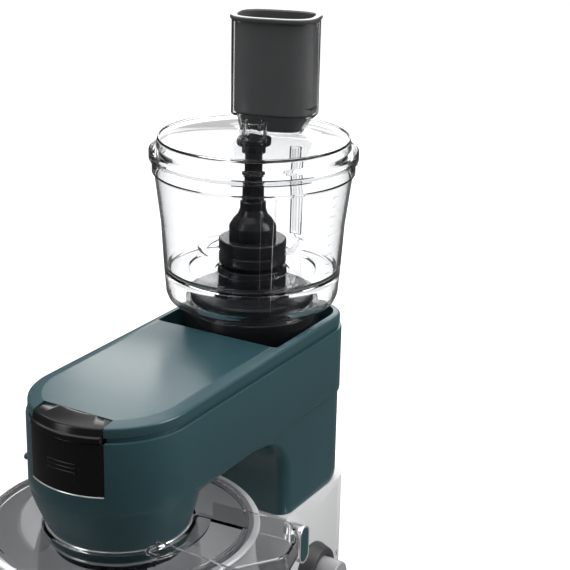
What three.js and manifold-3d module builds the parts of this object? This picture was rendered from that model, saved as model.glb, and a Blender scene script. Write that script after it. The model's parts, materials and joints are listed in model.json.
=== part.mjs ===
// Tilting-head kitchen machine with a food-processor attachment on its rear drive outlet.
// Units are millimetres. Everything is drawn in a drawing frame whose origin is the rear outlet's axis
// in the plane of the head's top panel: X runs along the head with the nose towards -X, Y runs across
// it with the controls on the -Y side, and Z points up. The finished group is then moved so that its
// origin is the bottom centre of the whole machine.
import * as THREE from "three";
import * as BufferGeometryUtils from "three/addons/utils/BufferGeometryUtils.js";
import Module from "manifold-3d";

const wasm = await Module();
wasm.setup();

// ---------------------------------------------------------------- driving dimensions

const WALL = 3; // moulded shell walls
const SEAM = 0.4; // gap between pieces that are fixed to each other
const RUN = 0.5; // gap round pieces that turn or slide
const FIT = 0.3; // gap between a shaft and the piece it is pressed into
const ROUND = 24; // segments of a large circle
const WIDE_ROUND = 32; // segments of a bowl or lid
const INNER_ROUND = 12; // segments of a turned piece inside the machine
const SMALL_ROUND = 8; // segments of a pin or shaft
const FILLET = 3; // segments of a quarter fillet

// Head
const HEAD_HALF = 80; // half width, also the radius of the nose
const NOSE_X = -240; // centre of the nose's round front
const AHEAD = NOSE_X - HEAD_HALF - 10; // in front of everything
const HEAD_REAR = 79;
const REAR_CORNER = 40; // radius of the head's rear corners in plan
const SIDE_TOP = -16; // top edge of the side walls
const CREASE = -86; // lower edge of the side walls
const UNDERSIDE = -93;
const UNDERCUT = 5; // the underside's step in from the side walls
const COVER_INSET = 2; // the top cover stands this far inside the side walls
const COVER_BOTTOM = -11.5;
const COVER_EDGE = 14; // width of the cover's rolled edge, from the side walls

// Planetary drive in the nose
const RING_X = -234.5; // the planetary drive's axis
const NOSE_FLOOR = -131;
const NOSE_RING_R = 67.8;
const CONE_STEP = 0.6; // the nose ring stands this far outside the cone
const NOSE_HOLE_R = 57;
const TOOTH_MODULE = 2.5;
const RING_TEETH = 40;
const PINION_TEETH = 14;
const RING_PITCH_R = (TOOTH_MODULE * RING_TEETH) / 2;
const PINION_PITCH_R = (TOOTH_MODULE * PINION_TEETH) / 2;
const PLANET_OFFSET = RING_PITCH_R - PINION_PITCH_R;
const PLANET_ANGLE = THREE.MathUtils.degToRad(230); // where the tool stands round the ring at rest
const UPPER_RING_BOTTOM = -135.6;
const BAND_BOTTOM = -144;
const LOWER_RING_BOTTOM = -147;
const GEAR_LOW = -146;
const GEAR_HIGH = -137.5;
const ADDENDUM = 0.8 * TOOTH_MODULE;
const DEDENDUM = 1.1 * TOOTH_MODULE;
const TOOL_X = RING_X + PLANET_OFFSET * Math.cos(PLANET_ANGLE);
const TOOL_Y = PLANET_OFFSET * Math.sin(PLANET_ANGLE);
const TOOL_SHAFT_R = 7;
const CARRIER_TOP = LOWER_RING_BOTTOM - 1;
const CARRIER_BOTTOM = CARRIER_TOP - 10;
const HUB_LOW = CARRIER_BOTTOM - 20;
const STEM_R = 4;

// Column and tilt hinge
const COLUMN_HALF = 77.5;
const COLUMN_FRONT = -57;
const COLUMN_REAR = 76.5;
const COLUMN_BOTTOM = -190;
const ARCH_R = 60; // arch from the column's front to the head's underside
const HINGE_R = 9; // round lower rear edge of the column, about the tilt hinge
const HINGE_X = COLUMN_REAR - HINGE_R;
const HINGE_Z = COLUMN_BOTTOM + HINGE_R;
const HINGE_PIN_R = 3;
const HINGE_EYE_R = HINGE_R - WALL - SEAM; // the column's rounded foot swings round the bracket's eye
const BRACKET_THICK = 5;
const BRACKET_Y = COLUMN_HALF - REAR_CORNER - BRACKET_THICK / 2 - 1; // clear of the column's corners
const BRACKET_WIDTH = 13;
const BRACKET_FOOT = -250;
const EAR_THICK = 4;
const EAR_Y = BRACKET_Y - BRACKET_THICK / 2 - 1.5; // outer face of the tilt frame's ears

// Base
const BASE_HALF = 80;
const BASE_REAR = 88;
const BASE_FRONT = -334;
const BASE_BOTTOM = -330;
const SHELF_Z = -233;
const SHELF_X = -98;
const DECK = -302; // top of the base under the bowl
const FOOT_HEIGHT = 5;
const FOOT_R = 11;
const PLATE_LOW = BASE_BOTTOM + 0.4;
const FEET = {
  foot_rear_left: [58, 48],
  foot_rear_right: [58, -48],
  foot_front_left: [-282, 44],
  foot_front_right: [-282, -44],
};

// Controls
const KNOB_X = -3.5;
const KNOB_Z = -274;
const BEZEL_R = 30;
const BEZEL_FRONT_R = 26;
const BEZEL_DEPTH = 15;
const KNOB_R = 17.5;
const KNOB_DEPTH = 36;
const POINTER_ANGLE = THREE.MathUtils.degToRad(132);
const LEVER_X = -48;
const LEVER_Z = -215;
const LEVER_SHAFT_R = 3;
const PADDLE = { front: -65, back: -46, low: -236, high: -194, out: 101 };
const HOOK = { halfY: 8, front: -48.3, arm: -42.3, back: -38.3, top: -180, under: -183.6 };
const HOOK_CHEEK = 4.6; // metal in front of the lever's shaft
const KEEPER_BACK = HOOK.front - SEAM; // the latch rests just clear of the keeper
const GLAND = { y: -24, z: -312, r: 6 };
const BUTTON_X = -262; // lock button on the nose's far side
const BUTTON_Z = -80;
const BUTTON_R = 3.5;

// Front outlet and its cover
const DOOR_HALF = 39.5;
const DOOR_TOP = -16.6;
const DOOR_BOTTOM = -67;
const FRONT_OUTLET_Z = -41.5;
const DOORWAY_BACK = -280;
const CAP_BACK = NOSE_X - HEAD_HALF + 27.5;
const CAP_HALF = 38;

// Recess and rear outlet
const RECESS_FRONT = -70;
const RECESS_REAR = 71;
const RECESS_HALF = 70.5;
const RECESS_FLOOR = -31;
const SKIRT = 2.5;
const COLLAR_BORE_R = 14;
const HEX_FLAT = 7.5; // half the width across the drive dog's flats
const HEX_TOP = 4;

// Drive
const SHAFT_R = 4;
const STATOR_R = 42;
const ROTOR_R = 23;
const SMALL_PULLEY_R = 12;
const BIG_PULLEY_R = 40;
const BELT_Z = -79; // middle of the belt
const BELT_WIDTH = 9;
const BELT_THICK = 1.6;
const CARRIER_SHAFT_R = 8;
const CHASSIS_Z = -68; // underside of the chassis plate
const STATOR_LOW = -168;
const STATOR_HIGH = -106;
const BEVEL_SLOPE = 10.5 / 24;
const OUTLET_FACE = -304;

// Processor attachment
const ADAPTER_R = 68.5;
const ADAPTER_TOP = 10;
const ADAPTER_STEP_R = 63;
const ADAPTER_BORE_R = 17;
const BOSS_R = 37;
const BOSS_TOP = 53;
const GLASS = 2.8; // wall of the clear bowl
const BOWL_FLOOR = 50;
const BOWL_RIM_R = 102;
const BOWL_RIM_Z = 168.6;
const BOWL_FOOT_R = BOWL_RIM_R - 14;
const BOWL_COLLAR_R = ADAPTER_STEP_R + 4.5;
const ROD_X = BOWL_RIM_R - 16.4; // the lid's interlock rod
const LID_R = BOWL_RIM_R + 3;
const LID_TOP = BOWL_RIM_Z + 18.4;
const LID_PLATE = 2.2;
const LID_PLATE_R = BOWL_RIM_R - 5.5;
const BEARING_R = 17.5;
const BEARING_TUBE_R = 12.2;
const BEARING_TUBE_LOW = LID_TOP - 23;
const SPINDLE_TOP_R = 9;
const SPINDLE_TOP = LID_TOP - 8;
const SPINDLE_FOOT = -10;
const HUB_R = 34.4;
const HUB_BOTTOM = 55.5;
const HUB_TOP = 82;
const BLADE_REACH = BOWL_RIM_R - 32;
const BLADE_THICK = 1.2;

// Feed chute and pusher, squarish ovals whose long axis is turned from X
const CHUTE = { x: 38, y: -1, long: 43.5, short: 30, turn: THREE.MathUtils.degToRad(107) };
const CHUTE_SQUARENESS = 3.2; // 2 is an ellipse, larger is nearer a rectangle
const CHUTE_WALL = 2.2;
const CHUTE_STEP = LID_TOP + 19;
const CHUTE_TOP = CHUTE_STEP + 92;
// Below the step the neck narrows down to the lid: inset all round, and shift along the long axis
const NECK_HIGH = { inset: 3, shift: -2 };
const NECK_LOW = { inset: 11, shift: 2.5 };
const PUSHER_RIM = 5;
const PUSHER_WALL = 2.5;

// Mixing bowl and splash guard
const STEEL = 1.6;
const MIX_RIM_R = 133;
const MIX_RIM_Z = -134;
const MIX_BOTTOM = -294;
const MIX_FOOT_R = 56;
const GUARD_R = 122;
const GUARD_TOP = -131;
const GUARD_WALL = 2.2;
const GUARD_CHUTE_TOP = -113;
const CHUTE_CORNERS = [
  [-280, -60, 4],
  [-192, -60, 4],
  [-185, -158, 12],
  [-204, -177, 14],
  [-243, -187, 24],
  [-286, -158, 12],
];
const NOSE_GAP = 2.3; // round the head's nose

// ---------------------------------------------------------------- geometry helpers

const MERGE = 1e-3;

// A closed three.js geometry as a manifold solid.
function solid(geometry) {
  const bare = geometry.clone();
  bare.deleteAttribute("normal");
  bare.deleteAttribute("uv");
  const merged = BufferGeometryUtils.mergeVertices(bare, MERGE);
  const index = merged.index.array;
  const triangles = [];
  for (let i = 0; i < index.length; i += 3) {
    const [a, b, c] = [index[i], index[i + 1], index[i + 2]];
    if (a !== b && b !== c && c !== a) {
      triangles.push(a, b, c);
    }
  }
  const vertProperties = new Float32Array(merged.attributes.position.array);
  const triVerts = new Uint32Array(triangles);
  return new wasm.Manifold(new wasm.Mesh({ numProp: 3, vertProperties, triVerts }));
}

function signedArea(points) {
  return THREE.ShapeUtils.area(points);
}

// Polygon whose corners [x, y, fillet radius] are rounded where they have a radius.
function outline(corners, segments = FILLET) {
  const points = [];
  corners.forEach(([x, y, radius], i) => {
    const here = new THREE.Vector2(x, y);
    if (!radius) {
      points.push(here);
      return;
    }
    const [bx, by] = corners[(i + corners.length - 1) % corners.length];
    const [ax, ay] = corners[(i + 1) % corners.length];
    const back = new THREE.Vector2(bx, by).sub(here).normalize();
    const ahead = new THREE.Vector2(ax, ay).sub(here).normalize();
    const half = Math.acos(THREE.MathUtils.clamp(back.dot(ahead), -1, 1)) / 2;
    const middle = back.clone().add(ahead).normalize();
    const centre = here.clone().addScaledVector(middle, radius / Math.sin(half));
    const start = here.clone().addScaledVector(back, radius / Math.tan(half)).sub(centre);
    const end = here.clone().addScaledVector(ahead, radius / Math.tan(half)).sub(centre);
    const sweep = Math.atan2(start.cross(end), start.dot(end));
    for (let k = 0; k <= segments; k += 1) {
      const angle = start.angle() + (sweep * k) / segments;
      points.push(new THREE.Vector2(Math.cos(angle), Math.sin(angle)).multiplyScalar(radius).add(centre));
    }
  });
  return points;
}

function circle(x, y, radius, segments = ROUND) {
  return Array.from({ length: segments }, (_, k) => {
    const angle = (2 * Math.PI * k) / segments;
    return new THREE.Vector2(x + radius * Math.cos(angle), y + radius * Math.sin(angle));
  });
}

function squared(value) {
  return Math.sign(value) * Math.abs(value) ** (2 / CHUTE_SQUARENESS);
}

function oval(shape, inset, segments = ROUND) {
  return circle(0, 0, 1, segments).map((point) => {
    const offset = new THREE.Vector2(
      squared(point.x) * (shape.long - inset),
      squared(point.y) * (shape.short - inset),
    );
    return offset.rotateAround(new THREE.Vector2(), shape.turn).add(new THREE.Vector2(shape.x, shape.y));
  });
}

function extrusion(points, depth) {
  return new THREE.ExtrudeGeometry(new THREE.Shape(points), { depth, bevelEnabled: false });
}

// Upright prism over an XY outline.
function prism(points, low, high) {
  const geometry = extrusion(points, high - low);
  return solid(geometry.translate(0, 0, low));
}

// Prism along Y over an XZ outline.
function prismY(points, low, high) {
  const geometry = extrusion(points, high - low);
  return solid(geometry.rotateX(Math.PI / 2).translate(0, high, 0));
}

// Prism along X over a YZ outline.
function prismX(points, low, high) {
  const geometry = extrusion(points, high - low);
  return solid(geometry.rotateX(Math.PI / 2).rotateZ(Math.PI / 2).translate(low, 0, 0));
}

function block(x0, x1, y0, y1, z0, z1) {
  const geometry = new THREE.BoxGeometry(x1 - x0, y1 - y0, z1 - z0);
  return solid(geometry.translate((x0 + x1) / 2, (y0 + y1) / 2, (z0 + z1) / 2));
}

function rodZ(x, y, radius, low, high, segments = SMALL_ROUND) {
  return prism(circle(x, y, radius, segments), low, high);
}

function rodY(x, z, radius, low, high, segments = SMALL_ROUND) {
  return prismY(circle(x, z, radius, segments), low, high);
}

function rodX(y, z, radius, low, high, segments = SMALL_ROUND) {
  return prismX(circle(y, z, radius, segments), low, high);
}

// Solid turned about a vertical axis at (x, y) from [radius, z] points.
function turned(profile, x = 0, y = 0, segments = ROUND) {
  const points = profile.map(([radius, z]) => new THREE.Vector2(radius, z));
  if (signedArea(points) < 0) {
    points.reverse();
  }
  const closed = points[0].x > 0 || points[points.length - 1].x > 0;
  if (closed) {
    points.push(points[0].clone());
  }
  const geometry = new THREE.LatheGeometry(points, segments);
  return solid(geometry.rotateX(Math.PI / 2).translate(x, y, 0));
}

// Solid turned about the horizontal axis along -Y at (x, z), from [radius, distance out] points.
function turnedY(profile, x, z, wallY, segments = ROUND) {
  const points = profile.map(([radius, out]) => new THREE.Vector2(radius, out));
  if (signedArea(points) < 0) {
    points.reverse();
  }
  if (points[0].x > 0 || points[points.length - 1].x > 0) {
    points.push(points[0].clone());
  }
  const geometry = new THREE.LatheGeometry(points, segments);
  return solid(geometry.rotateX(Math.PI).translate(x, wallY, z));
}

// Solid turned about the horizontal axis along X at (y, z), from [radius, x] points.
function turnedX(profile, y, z, segments = ROUND) {
  const points = profile.map(([radius, x]) => new THREE.Vector2(radius, x));
  if (signedArea(points) < 0) {
    points.reverse();
  }
  if (points[0].x > 0 || points[points.length - 1].x > 0) {
    points.push(points[0].clone());
  }
  const geometry = new THREE.LatheGeometry(points, segments);
  return solid(geometry.rotateZ(-Math.PI / 2).translate(0, y, z));
}

// Solid skinned over a stack of equal-count outlines, each [z, points], from low to high.
function stacked(levels) {
  const count = levels[0][1].length;
  const positions = levels.flatMap(([z, points]) => points.flatMap((point) => [point.x, point.y, z]));
  const index = [];
  for (let level = 0; level + 1 < levels.length; level += 1) {
    for (let i = 0; i < count; i += 1) {
      const a = level * count + i;
      const b = level * count + ((i + 1) % count);
      index.push(a, b, b + count, a, b + count, a + count);
    }
  }
  const last = (levels.length - 1) * count;
  THREE.ShapeUtils.triangulateShape(levels[0][1], []).forEach(([a, b, c]) => index.push(c, b, a));
  THREE.ShapeUtils.triangulateShape(levels[levels.length - 1][1], []).forEach(([a, b, c]) => {
    index.push(last + a, last + b, last + c);
  });
  const geometry = new THREE.BufferGeometry();
  geometry.setAttribute("position", new THREE.Float32BufferAttribute(positions, 3));
  geometry.setIndex(index);
  return solid(geometry);
}

// Round bar along a curve.
function bar(curve, radius, steps, sides = 8) {
  const section = new THREE.Shape(circle(0, 0, radius, sides));
  return solid(new THREE.ExtrudeGeometry(section, { steps, extrudePath: curve, bevelEnabled: false }));
}

// ---------------------------------------------------------------- materials and assembly

function finish(color, roughness, metalness) {
  return new THREE.MeshStandardMaterial({ color, roughness, metalness });
}

const teal = finish(0x4d6b70, 0.4, 0.3);
const black = finish(0x0b0b0c, 0.2, 0);
const dark = finish(0x2a2b2d, 0.5, 0);
const silver = finish(0xc4c6c8, 0.45, 0.4);
const chrome = finish(0xd8dadc, 0.1, 1);
const steel = finish(0xb4b6b8, 0.3, 1);
const clear = finish(0xe6ecee, 0.05, 0);
const rubber = finish(0x1b1b1c, 0.9, 0);
const copper = finish(0xa8663a, 0.4, 0.9);
const grey = finish(0x9b9da0, 0.4, 0);
const board = finish(0x2f5a3c, 0.6, 0);

const machine = new THREE.Group();

function add(name, body, material) {
  const mesh = body.getMesh();
  const geometry = new THREE.BufferGeometry();
  geometry.setAttribute("position", new THREE.BufferAttribute(mesh.vertProperties, 3));
  geometry.setIndex(new THREE.BufferAttribute(mesh.triVerts, 1));
  geometry.computeVertexNormals();
  const piece = new THREE.Mesh(geometry, material);
  piece.name = name;
  machine.add(piece);
}

// ---------------------------------------------------------------- head

// Plan of the head: a square rear with round corners and a half-round nose.
function headPlan(inset) {
  const half = HEAD_HALF - inset;
  const nose = half - 0.01;
  const rear = REAR_CORNER - inset;
  return outline([
    [HEAD_REAR - inset, -half, rear],
    [HEAD_REAR - inset, half, rear],
    [NOSE_X - half, half, nose],
    [NOSE_X - half, -half, nose],
  ], 8);
}

// Plan of the nose's lower cone: the head's width at the crease, the ring's width at the floor.
function conePlan(share, inset) {
  const radius = THREE.MathUtils.lerp(HEAD_HALF, NOSE_RING_R - CONE_STEP, share ** 1.35) - inset;
  return circle(THREE.MathUtils.lerp(NOSE_X, RING_X, share), 0, radius);
}

function cone(inset, floor) {
  const steps = 6;
  const levels = Array.from({ length: steps + 1 }, (_, k) => {
    const share = 1 - k / steps;
    return [THREE.MathUtils.lerp(CREASE, floor, share), conePlan(share, inset)];
  });
  return stacked(levels);
}

// The column's side profile with the arch, the round hinge edge and an open or closed foot.
function columnProfile(inset, foot) {
  return outline([
    [COLUMN_REAR - inset, CREASE],
    [COLUMN_REAR - inset, foot, inset ? 0 : HINGE_R],
    [COLUMN_FRONT + inset, foot],
    [COLUMN_FRONT + inset, UNDERSIDE + inset, ARCH_R + inset],
    [COLUMN_FRONT - 2 * ARCH_R, UNDERSIDE + inset],
    [COLUMN_FRONT - 2 * ARCH_R, CREASE],
  ], 6);
}

function columnPlan(inset) {
  const half = COLUMN_HALF - inset;
  const corner = REAR_CORNER - 2 - inset;
  return outline([
    [COLUMN_REAR - inset, -half, corner],
    [COLUMN_REAR - inset, half, corner],
    [COLUMN_FRONT - 3 * ARCH_R, half],
    [COLUMN_FRONT - 3 * ARCH_R, -half],
  ]);
}

function column(inset, foot) {
  const half = COLUMN_HALF - inset;
  const upright = prism(columnPlan(inset), foot - 1, CREASE + 1);
  return prismY(columnProfile(inset, foot), -half, half).intersect(upright);
}

function headShell() {
  const box = stacked([
    [UNDERSIDE, headPlan(UNDERCUT)],
    [CREASE, headPlan(0)],
    [SIDE_TOP - 1.2, headPlan(0)],
    [SIDE_TOP, headPlan(1)],
  ]);
  const room = stacked([
    [UNDERSIDE + WALL, headPlan(UNDERCUT + WALL)],
    [CREASE, headPlan(WALL)],
    [SIDE_TOP + 1, headPlan(WALL)],
  ]);
  const doorHole = DOOR_HALF + SEAM;
  const doorway = block(AHEAD, DOORWAY_BACK, -doorHole, doorHole, DOOR_BOTTOM - SEAM, SIDE_TOP + 1);
  return box
    .add(cone(0, NOSE_FLOOR))
    .add(column(0, COLUMN_BOTTOM))
    .subtract(room)
    .subtract(cone(WALL, NOSE_FLOOR + WALL))
    .subtract(column(WALL, COLUMN_BOTTOM - 1))
    .subtract(rodZ(RING_X, 0, NOSE_HOLE_R, NOSE_FLOOR - 1, NOSE_FLOOR + 5, ROUND))
    .subtract(doorway)
    .subtract(rodY(BUTTON_X, BUTTON_Z, BUTTON_R + RUN, 60, 90));
}

function recessPlan(inset) {
  return outline([
    [RECESS_FRONT + inset, -RECESS_HALF + inset, 6 - inset],
    [RECESS_REAR - inset, -RECESS_HALF + inset, REAR_CORNER - 8 - inset],
    [RECESS_REAR - inset, RECESS_HALF - inset, REAR_CORNER - 8 - inset],
    [RECESS_FRONT + inset, RECESS_HALF - inset, 6 - inset],
  ], 5);
}

// Top cover: a flat panel with a rolled edge, and a skirt round the recess.
function topCover() {
  const outer = stacked([
    [COVER_BOTTOM, headPlan(COVER_INSET)],
    [-3.4, headPlan(COVER_INSET)],
    [-2.2, headPlan(COVER_INSET + 0.8)],
    [-1.2, headPlan(COVER_INSET + 3)],
    [-0.4, headPlan(COVER_INSET + 6.5)],
    [0, headPlan(COVER_EDGE)],
  ]);
  const inner = stacked([
    [COVER_BOTTOM - 1, headPlan(COVER_INSET + SKIRT)],
    [-4, headPlan(COVER_INSET + SKIRT)],
    [-2.6, headPlan(COVER_EDGE)],
  ]);
  const skirt = prism(recessPlan(-SKIRT), RECESS_FLOOR + SEAM, -2);
  const notch = block(AHEAD, CAP_BACK + SEAM / 2, -CAP_HALF - SEAM, CAP_HALF + SEAM, -20, 5);
  return outer
    .subtract(inner)
    .add(skirt)
    .subtract(prism(recessPlan(0), RECESS_FLOOR - 5, 5))
    .subtract(notch);
}

// Black cap over the front outlet, following the nose's round front, with a lip above the door.
function frontCap() {
  const lipR = HEAD_HALF + 2;
  const ring = turned([
    [HEAD_HALF - 40, -0.2],
    [HEAD_HALF - 22, -0.2],
    [HEAD_HALF - 10, -1],
    [HEAD_HALF - 4, -2.2],
    [HEAD_HALF - 0.4, -4],
    [HEAD_HALF - 0.2, -10],
    [lipR, -10.8],
    [lipR, -15.4],
    [HEAD_HALF - WALL, -15.4],
    [HEAD_HALF - WALL, -7],
    [HEAD_HALF - 10, -4],
    [HEAD_HALF - 40, -3.4],
  ], NOSE_X, 0, 2 * ROUND);
  return ring.intersect(block(AHEAD, CAP_BACK - SEAM / 2, -CAP_HALF, CAP_HALF, -20, 5));
}

// Pull-off cover over the front outlet, with three grip ribs.
function frontDoor() {
  const skin = turned([
    [HEAD_HALF - 2.6, DOOR_BOTTOM],
    [HEAD_HALF + 0.2, DOOR_BOTTOM],
    [HEAD_HALF + 0.2, DOOR_TOP],
    [HEAD_HALF - 2.6, DOOR_TOP],
  ], NOSE_X, 0, 2 * ROUND).intersect(block(AHEAD, DOORWAY_BACK, -DOOR_HALF, DOOR_HALF, -80, 0));
  const ribs = [-39, -43, -47].map((z) => turned([
    [HEAD_HALF - 1, z - 0.7],
    [HEAD_HALF + 1, z - 0.7],
    [HEAD_HALF + 1, z + 0.7],
    [HEAD_HALF - 1, z + 0.7],
  ], NOSE_X, 0, 2 * ROUND).intersect(block(AHEAD, DOORWAY_BACK, -16, 15, -80, 0)));
  return ribs.reduce((body, rib) => body.add(rib), skin);
}

function noseRing(outerR, top, bottom) {
  const middle = (top + bottom) / 2;
  return turned([
    [NOSE_HOLE_R, bottom],
    [outerR - 0.8, bottom],
    [outerR, middle],
    [outerR - 0.8, top],
    [NOSE_HOLE_R, top],
  ], RING_X, 0);
}

function noseBand() {
  return turned([
    [NOSE_HOLE_R, BAND_BOTTOM],
    [65.5, BAND_BOTTOM],
    [65.8, UPPER_RING_BOTTOM - SEAM],
    [NOSE_HOLE_R, UPPER_RING_BOTTOM - SEAM],
  ], RING_X, 0);
}

// Floor of the recess round the rear outlet, with the outlet's upright collar.
function outletWell() {
  const floor = prism(recessPlan(SEAM), RECESS_FLOOR - WALL, RECESS_FLOOR);
  const collar = rodZ(0, 0, COLLAR_BORE_R + 4, RECESS_FLOOR - 1, RECESS_FLOOR + 14, ROUND);
  const lugs = [0, 1, 2].map((k) => {
    const angle = Math.PI / 3 + (2 * Math.PI * k) / 3;
    return rodZ(50 * Math.cos(angle), 50 * Math.sin(angle), 4, RECESS_FLOOR - 1, RECESS_FLOOR + 6);
  });
  return lugs
    .reduce((body, lug) => body.add(lug), floor.add(collar))
    .subtract(rodZ(0, 0, COLLAR_BORE_R, RECESS_FLOOR - 10, RECESS_FLOOR + 20, ROUND));
}

// ---------------------------------------------------------------- drive inside the head

function motorStator() {
  const slots = 8;
  const core = rodZ(0, 0, STATOR_R, STATOR_LOW, STATOR_HIGH, ROUND);
  const bore = rodZ(0, 0, ROTOR_R + 1, STATOR_LOW - 1, STATOR_HIGH + 1, ROUND);
  const cuts = Array.from({ length: slots }, (_, k) => {
    const angle = (2 * Math.PI * k) / slots;
    return rodZ((STATOR_R - 10) * Math.cos(angle), (STATOR_R - 10) * Math.sin(angle), 3, -200, -80, 8);
  });
  return cuts.reduce((body, cut) => body.subtract(cut), core.subtract(bore));
}

function motorRotor() {
  return rodZ(0, 0, ROTOR_R, STATOR_LOW + 2, STATOR_HIGH - 2, INNER_ROUND)
    .subtract(rodZ(0, 0, SHAFT_R + FIT, -200, -80));
}

// Cooling fan: a hub disc with upright blades.
function motorFan() {
  const blades = 6;
  const disc = rodZ(0, 0, 34, -102, -100, INNER_ROUND).add(rodZ(0, 0, 9, -102, -91));
  const body = Array.from({ length: blades }, (_, k) => {
    const blade = new THREE.BoxGeometry(23, 1.6, 10).translate(20, 0, -96);
    return solid(blade.rotateZ((2 * Math.PI * k) / blades));
  }).reduce((joined, blade) => joined.add(blade), disc);
  return body.subtract(rodZ(0, 0, SHAFT_R + FIT, -110, -80));
}

function pulley(x, radius, boreR) {
  const low = BELT_Z - BELT_WIDTH / 2;
  const high = BELT_Z + BELT_WIDTH / 2;
  const flange = radius + 2.5;
  return turned([
    [boreR, low - 1.2],
    [flange, low - 1.2],
    [flange, low - 0.4],
    [radius, low - 0.4],
    [radius, high + 0.4],
    [flange, high + 0.4],
    [flange, high + 1.2],
    [boreR, high + 1.2],
  ], x, 0, radius > 20 ? ROUND : INNER_ROUND);
}

// Belt outline: the taut loop round both pulleys, grown by a given distance.
function beltLoop(grow) {
  const small = SMALL_PULLEY_R + grow;
  const big = BIG_PULLEY_R + grow;
  const lean = Math.asin((big - small) / -RING_X);
  const points = [];
  for (let k = 0; k <= 12; k += 1) {
    const angle = THREE.MathUtils.lerp(-Math.PI / 2 + lean, Math.PI / 2 - lean, k / 12);
    points.push(new THREE.Vector2(small * Math.cos(angle), small * Math.sin(angle)));
  }
  for (let k = 0; k <= 24; k += 1) {
    const angle = THREE.MathUtils.lerp(Math.PI / 2 - lean, (3 * Math.PI) / 2 + lean, k / 24);
    points.push(new THREE.Vector2(RING_X + big * Math.cos(angle), big * Math.sin(angle)));
  }
  return points;
}

function driveBelt() {
  const low = BELT_Z - BELT_WIDTH / 2;
  const high = BELT_Z + BELT_WIDTH / 2;
  return prism(beltLoop(SEAM + BELT_THICK), low, high).subtract(prism(beltLoop(SEAM), low - 1, high + 1));
}

function chassisPlate() {
  const plate = prism(outline([
    [52, -50, 8],
    [52, 50, 8],
    [-290, 50, 34],
    [-290, -50, 34],
  ]), CHASSIS_Z, CHASSIS_Z + WALL);
  return plate
    .subtract(rodZ(0, 0, SHAFT_R + RUN, -80, -50))
    .subtract(rodZ(RING_X, 0, CARRIER_SHAFT_R + RUN, -80, -50, INNER_ROUND));
}

// Steel frame that carries the motor's lower bearing and turns on the tilt pin.
function tiltFrame() {
  const plate = block(-24, HINGE_X - 8, -EAR_Y, EAR_Y, -180, -176)
    .subtract(rodZ(0, 0, SHAFT_R + RUN, -190, -170));
  const ears = [-EAR_Y, EAR_Y - EAR_THICK].map((y) => {
    const arm = outline([
      [6, -176],
      [6, -180],
      [HINGE_X, HINGE_Z - 6.5],
      [HINGE_X + 4.8, HINGE_Z - 4],
      [HINGE_X + 4.8, HINGE_Z + 5],
      [HINGE_X, HINGE_Z + 12],
      [52, -164],
      [46, -172],
    ]);
    return prismY(arm, y, y + EAR_THICK);
  });
  const bore = rodY(HINGE_X, HINGE_Z, HINGE_PIN_R + RUN, -60, 60);
  return ears.reduce((body, ear) => body.add(ear), plate).subtract(bore);
}

// Dog that drives whatever stands on the rear outlet.
function topCoupling() {
  const disc = rodZ(0, 0, COLLAR_BORE_R - 1.5, -38, -33, INNER_ROUND);
  const dog = prism(circle(0, 0, HEX_FLAT / Math.cos(Math.PI / 6), 6), -34, HEX_TOP);
  return disc.add(dog).subtract(rodZ(0, 0, SHAFT_R + FIT, -50, -36));
}

// Trapezoid gear teeth between two radii, a tooth centred on the given phase.
function toothed(x, y, teeth, rootR, tipR, rootShare, tipShare, phase) {
  const pitch = (2 * Math.PI) / teeth;
  const points = [];
  for (let k = 0; k < teeth; k += 1) {
    const middle = phase + k * pitch;
    [
      [rootR, -rootShare],
      [tipR, -tipShare],
      [tipR, tipShare],
      [rootR, rootShare],
    ].forEach(([radius, share]) => {
      const angle = middle + (share * pitch) / 2;
      points.push(new THREE.Vector2(x + radius * Math.cos(angle), y + radius * Math.sin(angle)));
    });
  }
  return points;
}

function ringGear() {
  const gap = toothed(
    RING_X, 0, RING_TEETH, RING_PITCH_R - ADDENDUM, RING_PITCH_R + DEDENDUM, 0.72, 0.5, PLANET_ANGLE,
  );
  return rodZ(RING_X, 0, NOSE_HOLE_R - SEAM, GEAR_LOW, GEAR_HIGH, ROUND).subtract(prism(gap, -160, -120));
}

function planetPinion() {
  const teeth = toothed(
    TOOL_X, TOOL_Y, PINION_TEETH, PINION_PITCH_R - DEDENDUM, PINION_PITCH_R + ADDENDUM, 0.62, 0.24,
    PLANET_ANGLE,
  );
  return prism(teeth, GEAR_LOW, GEAR_HIGH)
    .subtract(rodZ(TOOL_X, TOOL_Y, TOOL_SHAFT_R + FIT, -160, -120, INNER_ROUND));
}

// Turning disc that closes the nose and carries the tool round the ring gear.
function planetCarrier() {
  const disc = turned([
    [CARRIER_SHAFT_R + FIT, CARRIER_TOP],
    [62.5, CARRIER_TOP],
    [61, CARRIER_BOTTOM + 3],
    [56, CARRIER_BOTTOM],
    [CARRIER_SHAFT_R + FIT, CARRIER_BOTTOM],
  ], RING_X, 0);
  return disc.subtract(rodZ(TOOL_X, TOOL_Y, TOOL_SHAFT_R + RUN, -170, -140, INNER_ROUND));
}

function toolSocket() {
  return turned([
    [0, HUB_LOW + 16],
    [STEM_R + 0.6, HUB_LOW + 16],
    [STEM_R + 0.6, HUB_LOW],
    [12, HUB_LOW],
    [17, HUB_LOW + 4],
    [18, CARRIER_BOTTOM - RUN],
    [TOOL_SHAFT_R, CARRIER_BOTTOM - RUN],
    [TOOL_SHAFT_R, GEAR_HIGH + 1],
    [0, GEAR_HIGH + 1],
  ], TOOL_X, TOOL_Y, INNER_ROUND);
}

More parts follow.
